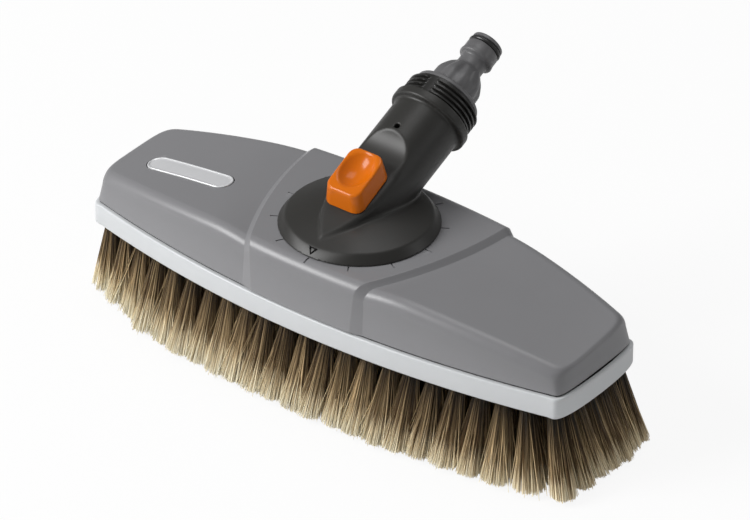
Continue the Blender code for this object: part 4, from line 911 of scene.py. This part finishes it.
def skin_of_form(form, low, high, cell, rounds=4):
    """The surface where a form's distance is zero, as points and four-sided faces, in mm.

    The form lies well inside the box from low to high. Each cell that the surface crosses gets one
    point, which then moves onto it.
    """
    axes = [np.arange(start, stop + cell, cell) for start, stop in zip(low, high)]
    field = form(np.meshgrid(*axes, indexing="ij"))
    inside = field < 0
    total = np.zeros([side - 1 for side in field.shape] + [3])
    hits = np.zeros(total.shape[:3])
    steps = np.eye(3, dtype=int)
    crossed = []
    for axis, step in enumerate(steps):
        spots = np.argwhere(np.diff(inside, axis=axis))
        start, end = field[tuple(spots.T)], field[tuple((spots + step).T)]
        places = spots + step * (start / (start - end))[:, None]
        one, two = steps[axis - 2], steps[axis - 1]
        around = (spots, spots - one, spots - one - two, spots - two)
        for cells in around:
            np.add.at(total, tuple(cells.T), places)
            np.add.at(hits, tuple(cells.T), 1)
        crossed.append((spots, around))
    used = hits > 0
    number = np.full(used.shape, -1)
    number[used] = np.arange(used.sum())
    points = total[used] / hits[used][:, None] * cell + np.array(low)
    faces = []
    for spots, around in crossed:
        quads = np.stack([number[tuple(cells.T)] for cells in around], axis=1)
        backwards = ~inside[tuple(spots.T)]
        quads[backwards] = quads[backwards][:, ::-1]
        faces.append(quads)
    probe, longest_move = 0.05 * cell, 0.35 * cell
    for _ in range(rounds):
        slope = np.stack([
            form((points + offset).T) - form((points - offset).T) for offset in np.eye(3) * probe
        ], axis=1) / (2 * probe)
        steepness = np.maximum(0.05, (slope**2).sum(axis=1))
        move = -form(points.T)[:, None] * slope / steepness[:, None]
        size = np.maximum(np.sqrt((move**2).sum(axis=1)), 1e-9)
        points = points + move * np.minimum(1, longest_move / size)[:, None]
    return points, np.concatenate(faces)


def formed_mesh(name, points, faces):
    """A mesh from a form's points, already placed and in metres, and its faces."""
    mesh = bpy.data.meshes.new(name)
    mesh.from_pydata(points.tolist(), [], faces.tolist())
    mesh.validate()
    return mesh


stem_plastic = moulded("stem_plastic", (0.021, 0.0203, 0.0185), 0.42, shade=0.05, depth=0.014, shine=0.42)
points, faces = skin_of_form(stem_form, (-37.5, -37.5, -0.6), (37.5, 61, 48), stem_cell)
housing = formed_mesh("dark_stem", points * MM + np.array(deck_middle), faces)
housing = add_piece("dark_stem", housing, stem_plastic, "stem", crease=60)
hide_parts("stem_housing")


# Stem thread. The same dark plastic, cut with a coarse thread that is left out over two flats so the
# mould can open. A hose collar screws on here.
thread_end = 66.5
thread_root, thread_crest, thread_bore = 16.2, 17.6, 14
thread_pitch, thread_gap = 2.3, 2.5
thread_overlap, thread_layer = 0.5, 0.115
thread_chamfer = 0.8


def threaded(radius, along, angle):
    """The thread's radius at a place along the stem and an angle from its front."""
    across = thread_root * math.sin(angle)
    open_share = min(1, max(0, (abs(across) - thread_gap) / 0.9 + 0.5))
    turn = ((along - flange_end) / thread_pitch - angle / math.tau) % 1
    ridge = min(1, max(0, 1.9 - 5.2 * abs(turn - 0.5)))
    fade = min(1, max(0, (thread_end - 0.5 - along) / 0.5))
    fade *= min(1, max(0, (along - flange_end - 0.3) / 0.4))
    return radius + (thread_crest - thread_root) * ridge * open_share * fade


def turned_piece(name, profile, steps, start, material, radius_at=None, crease=180):
    """A ring round the stem's axis from (radius, place) pairs in mm, counted from a start along it."""
    loops = []
    for radius, along in profile:
        loop = []
        for n in range(steps):
            angle = math.tau * n / steps
            here = radius_at(radius, along, angle) if radius_at else radius
            loop.append(Vector((here * math.sin(angle), -here * math.cos(angle), along)) * MM)
        loops.append(loop)
    shape = bmesh.new()
    skin_between(shape, loops, ring=True)
    root = stem_root + stem_axis * start * MM
    shape.transform(Matrix.Translation(root) @ Matrix.Rotation(stem_lean - math.pi / 2, 4, "X"))
    return add_piece(name, shape, material, "stem", crease)


thread_low = flange_end - thread_overlap
layers = int((thread_end - flange_end + 0.4) / thread_layer)
thread_profile = [(thread_root, thread_low + thread_layer * n) for n in range(layers)] + [
    (thread_root, thread_end - 0.05), (thread_root - thread_chamfer, thread_end),
    (thread_bore, thread_end), (thread_bore, thread_low),
]
# The thread is the stem's own plastic; its darker colour here is painted shade.
thread_plastic = moulded("thread_plastic", (0.012, 0.0115, 0.0105), 0.36, shade=0.05, depth=0.01)
thread = turned_piece("stem_thread", thread_profile, 240, 0, thread_plastic, threaded, crease=45)


# Pointer. An outlined triangle of dark plastic, moulded proud on the disc's sloping rim. It turns with
# the stem and reads against the cover's ticks.
pointer_width, pointer_height, pointer_drop = 4.2, 3.7, 0.75
pointer_line, pointer_proud = 0.48, 0.06
pointer_bevel, pointer_root = 0.05, -0.2
pointer_profile = (
    (0, pointer_root), (pointer_bevel, pointer_proud),
    (pointer_line, pointer_proud), (pointer_line + pointer_bevel, pointer_root),
)


def on_rim(across, drop, proud):
    """A point on the disc's sloping rim, drop mm below its upper edge, in metres."""
    slope = (disc_radius - disc_top_radius) / disc_rim
    length = math.hypot(1, slope)
    fall = drop / length
    radius = disc_top_radius + slope * fall + proud / length
    height = disc_foot + disc_rim - fall + proud * slope / length
    angle = across / radius
    return deck_middle + Vector((radius * math.sin(angle), -radius * math.cos(angle), height)) * MM


def triangle_loop(inset, proud, side_parts=6):
    """The pointer's outline on the rim, moved in."""
    half = pointer_width / 2
    slant = math.hypot(half, pointer_height)
    side = half - inset * (slant + half) / pointer_height
    tip = pointer_drop + pointer_height - inset * slant / half
    corners = [(-side, pointer_drop + inset), (side, pointer_drop + inset), (0, tip)]
    loop = []
    for (x1, y1), (x2, y2) in zip(corners, corners[1:] + corners[:1]):
        for share in (n / side_parts for n in range(side_parts)):
            loop.append(on_rim(x1 + (x2 - x1) * share, y1 + (y2 - y1) * share, proud))
    return loop


shape = bmesh.new()
skin_between(shape, [triangle_loop(inset, proud) for inset, proud in pointer_profile], ring=True)
pointer_plastic = moulded("pointer_plastic", (0.006, 0.0058, 0.0055), 0.8, shine=0.05)
pointer = add_piece("rim_pointer", shape, pointer_plastic, "stem", crease=30)


# Thumb slide. A glossy orange block with a thumb dish and a raised front lip. Pushed up the stem, it
# draws the bolt out of the ring so that the head can be turned.
button_length, button_width = 24.7, 20.6
button_back, button_foot = 14.8, 10.8
button_top, button_rear_top = 19.4, 20.8
button_corner, button_lean = 4.6, 2.1
foot_gap = 0.3
side_taper, end_taper = 1.3, 0.7
dish_radius, dish_depth, dish_shift = 13.6, 3.9, 0.9
slide_travel, socket_top = 5, 13.8
button_cell = 0.34


def button_form(points):
    """Distance to the slide. Points are (x, height over the stem's axis, place along it)."""
    x, height, along = points
    middle = button_back - button_length / 2
    rise = np.clip((height - button_foot) / (button_top - button_foot), 0, 1.1)
    offset = along - middle - button_lean * rise
    far_x = abs(x) - (button_width / 2 - side_taper * rise - button_corner)
    far_z = abs(offset) - (button_length / 2 - end_taper * rise - button_corner)
    side = np.hypot(np.maximum(far_x, 0), np.maximum(far_z, 0)) - button_corner
    side = side + np.minimum(np.maximum(far_x, far_z), 0)
    top = button_top + (button_rear_top - button_top) * (offset / button_length + 0.5)
    block = soft_max(side, height - top, 1.2)
    dish_x = x * button_length / button_width
    dish_height = height - (button_top + button_rear_top) / 2 - dish_radius + dish_depth
    dish_z = along - middle - button_lean - dish_shift
    dish = np.sqrt(dish_x**2 + dish_height**2 + dish_z**2) - dish_radius
    block = soft_max(block, -dish, 0.9)
    socket = np.maximum(peg_start - along, along - peg_end + slide_travel)
    socket = np.maximum(abs(x) - peg_half_width, socket)
    block = np.maximum(block, -np.maximum(socket, height - socket_top))
    return np.maximum(block, floor_of(along)[0] + foot_gap - height)


orange = (0.58, 0.132, 0.003)
button_plastic = moulded("button_plastic", orange, 0.30, shade=0.03, depth=0.004, coat=0.3, shine=0.1)
points, faces = skin_of_form(button_form, (-11.5, 10.2, -11.5), (11.5, 23, 18.5), button_cell)
x, height, along = points.T
placed = np.stack([x, along * lean_cos - height * lean_sin, along * lean_sin + height * lean_cos], axis=1)
# (x, height, along) is a left-handed set, so the faces turn round
slide = formed_mesh("orange_slide", placed * MM + np.array(stem_root), faces[:, ::-1])
slide = add_piece("orange_slide", slide, button_plastic, "release", crease=60)
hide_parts("release_button")


# Hose nipple. Grey moulded quick-connect end: a closing ring on the thread, a lobed bell to grip, a
# waist for the connector's claws and a barrel with a groove for its o-ring.
nipple_start = 66.8
nipple_profile = (
    (4.8, -8.3), (6.8, -8.3), (6.8, -6.3), (13.7, -6.3), (13.7, 0), (15.5, 0), (15.8, 0.3), (15.8, 1.5),
    (15.5, 1.95), (15, 2.1), (12.2, 2.15), (11.9, 2.4), (11.8, 3), (11.75, 4.5), (11.7, 6.5),
    (11.65, 8.4), (11.55, 9.6), (11.2, 10.8), (10.6, 12.1), (9.6, 14), (8.8, 15.2), (8.1, 16),
    (7.2, 16.9), (6.6, 17.6), (6.35, 18.4), (6.3, 20), (6.3, 22), (6.5, 22.5), (7.4, 23), (8.05, 23.4),
    (8.25, 23.9), (8.2, 24.6), (8, 25.3), (7.9, 26.4), (7.9, 29.35), (7.75, 29.55), (6.05, 29.6),
    (6, 29.75), (6, 32), (6.05, 32.15), (7.4, 32.2), (7.6, 32.35), (7.6, 33.3), (7.45, 33.75), (7, 34),
    (5, 34), (4.6, 33.6), (4.6, 10), (4.6, -0.3), (3, -2), (4.8, -2),
)
lobe_count, lobe_depth = 9, 0.75
lobe_start, lobe_deeper, lobe_end = 2.1, 9.5, 17
lobe_least_radius = 7


def lobed(radius, along, angle):
    """The bell's radius, scalloped between its grips."""
    if not lobe_start <= along <= lobe_end or radius < lobe_least_radius:
        return radius
    wave = 0.5 + 0.5 * math.cos(angle * lobe_count)
    fade = min(1, (along - lobe_start) / 1.2) * min(1, (lobe_end - along) / 3.5)
    return radius - lobe_depth * fade * (1 - wave) ** 1.5 * (1.5 if along > lobe_deeper else 1)


nipple_plastic = moulded("nipple_plastic", (0.110, 0.109, 0.112), 0.42, shade=0.05, depth=0.015)
nipple = turned_piece("grey_nipple", nipple_profile, 216, nipple_start, nipple_plastic, lobed, crease=42)
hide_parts("hose_nipple")


# Nipple o-ring. A black rubber cord that sits in the groove near the barrel's end and seals the
# nipple inside a hose's connector.
cord_radius, cord_middle = 7.05, 30.9
cord_half_height, cord_half_width = 1.05, 1.02
rubber = moulded("rubber", (0.014, 0.014, 0.014), 0.34, shade=0.08, depth=0.01)
cord = []
for turn in (math.tau * n / 20 for n in range(20)):
    cord.append((cord_radius + cord_half_width * math.cos(turn), cord_half_height * math.sin(turn)))
o_ring = turned_piece("rubber_ring", cord, 96, nipple_start + cord_middle, rubber)
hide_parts("nipple_o_ring")


# Bolt springs. Two coils of steel wire between the bolt's yoke and a wall across the stem. Their upper
# ends stay against the wall, and they shorten as the thumb slide draws the bolt up.
steel = moulded("steel", (0.55, 0.55, 0.57), 0.3, shade=0.05, metal=1, depth=0.006)
for side in ("left", "right"):
    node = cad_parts[f"bolt_spring_{side}"]
    coil = bmesh.new()
    coil.from_mesh(node.data)
    coil.transform(node.matrix_world)
    bmesh.ops.remove_doubles(coil, verts=coil.verts, dist=0.001 * MM)
    spring = add_piece(f"{side}_spring", coil, steel, "stem")
    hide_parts(node.name)
    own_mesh(spring)


# Pieces inside. They keep the CAD's shape and are seen only when the brush is taken apart: steel
# screws, bolt, washer and clip, rubber seals, slippery white bearing parts and black mouldings.
clip_steel = moulded("clip_steel", (0.32, 0.33, 0.36), 0.35, shade=0.06, metal=1, depth=0.006)
bearing_plastic = moulded("bearing_plastic", (0.78, 0.77, 0.73), 0.4, shade=0.02)
tube_plastic = moulded("tube_plastic", (0.56, 0.58, 0.58), 0.28, shade=0.02)
screws = [f"base_screw_{n}" for n in range(1, 5)] + [f"plate_screw_{n}" for n in range(1, 7)]
inner_finishes = (
    (steel, ["swivel_washer", "lock_bolt", *screws]),
    (stem_plastic, ["swivel_base", "detent_ring"]),
    (clip_steel, ["swivel_clip"]),
    (rubber, ["cover_seal", "swivel_o_ring"]),
    (bearing_plastic, ["swivel_bush", "thrust_washer"]),
    (tube_plastic, ["water_tube"]),
)
for finish, names in inner_finishes:
    for name in names:
        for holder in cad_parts[name].material_slots:
            holder.material = finish
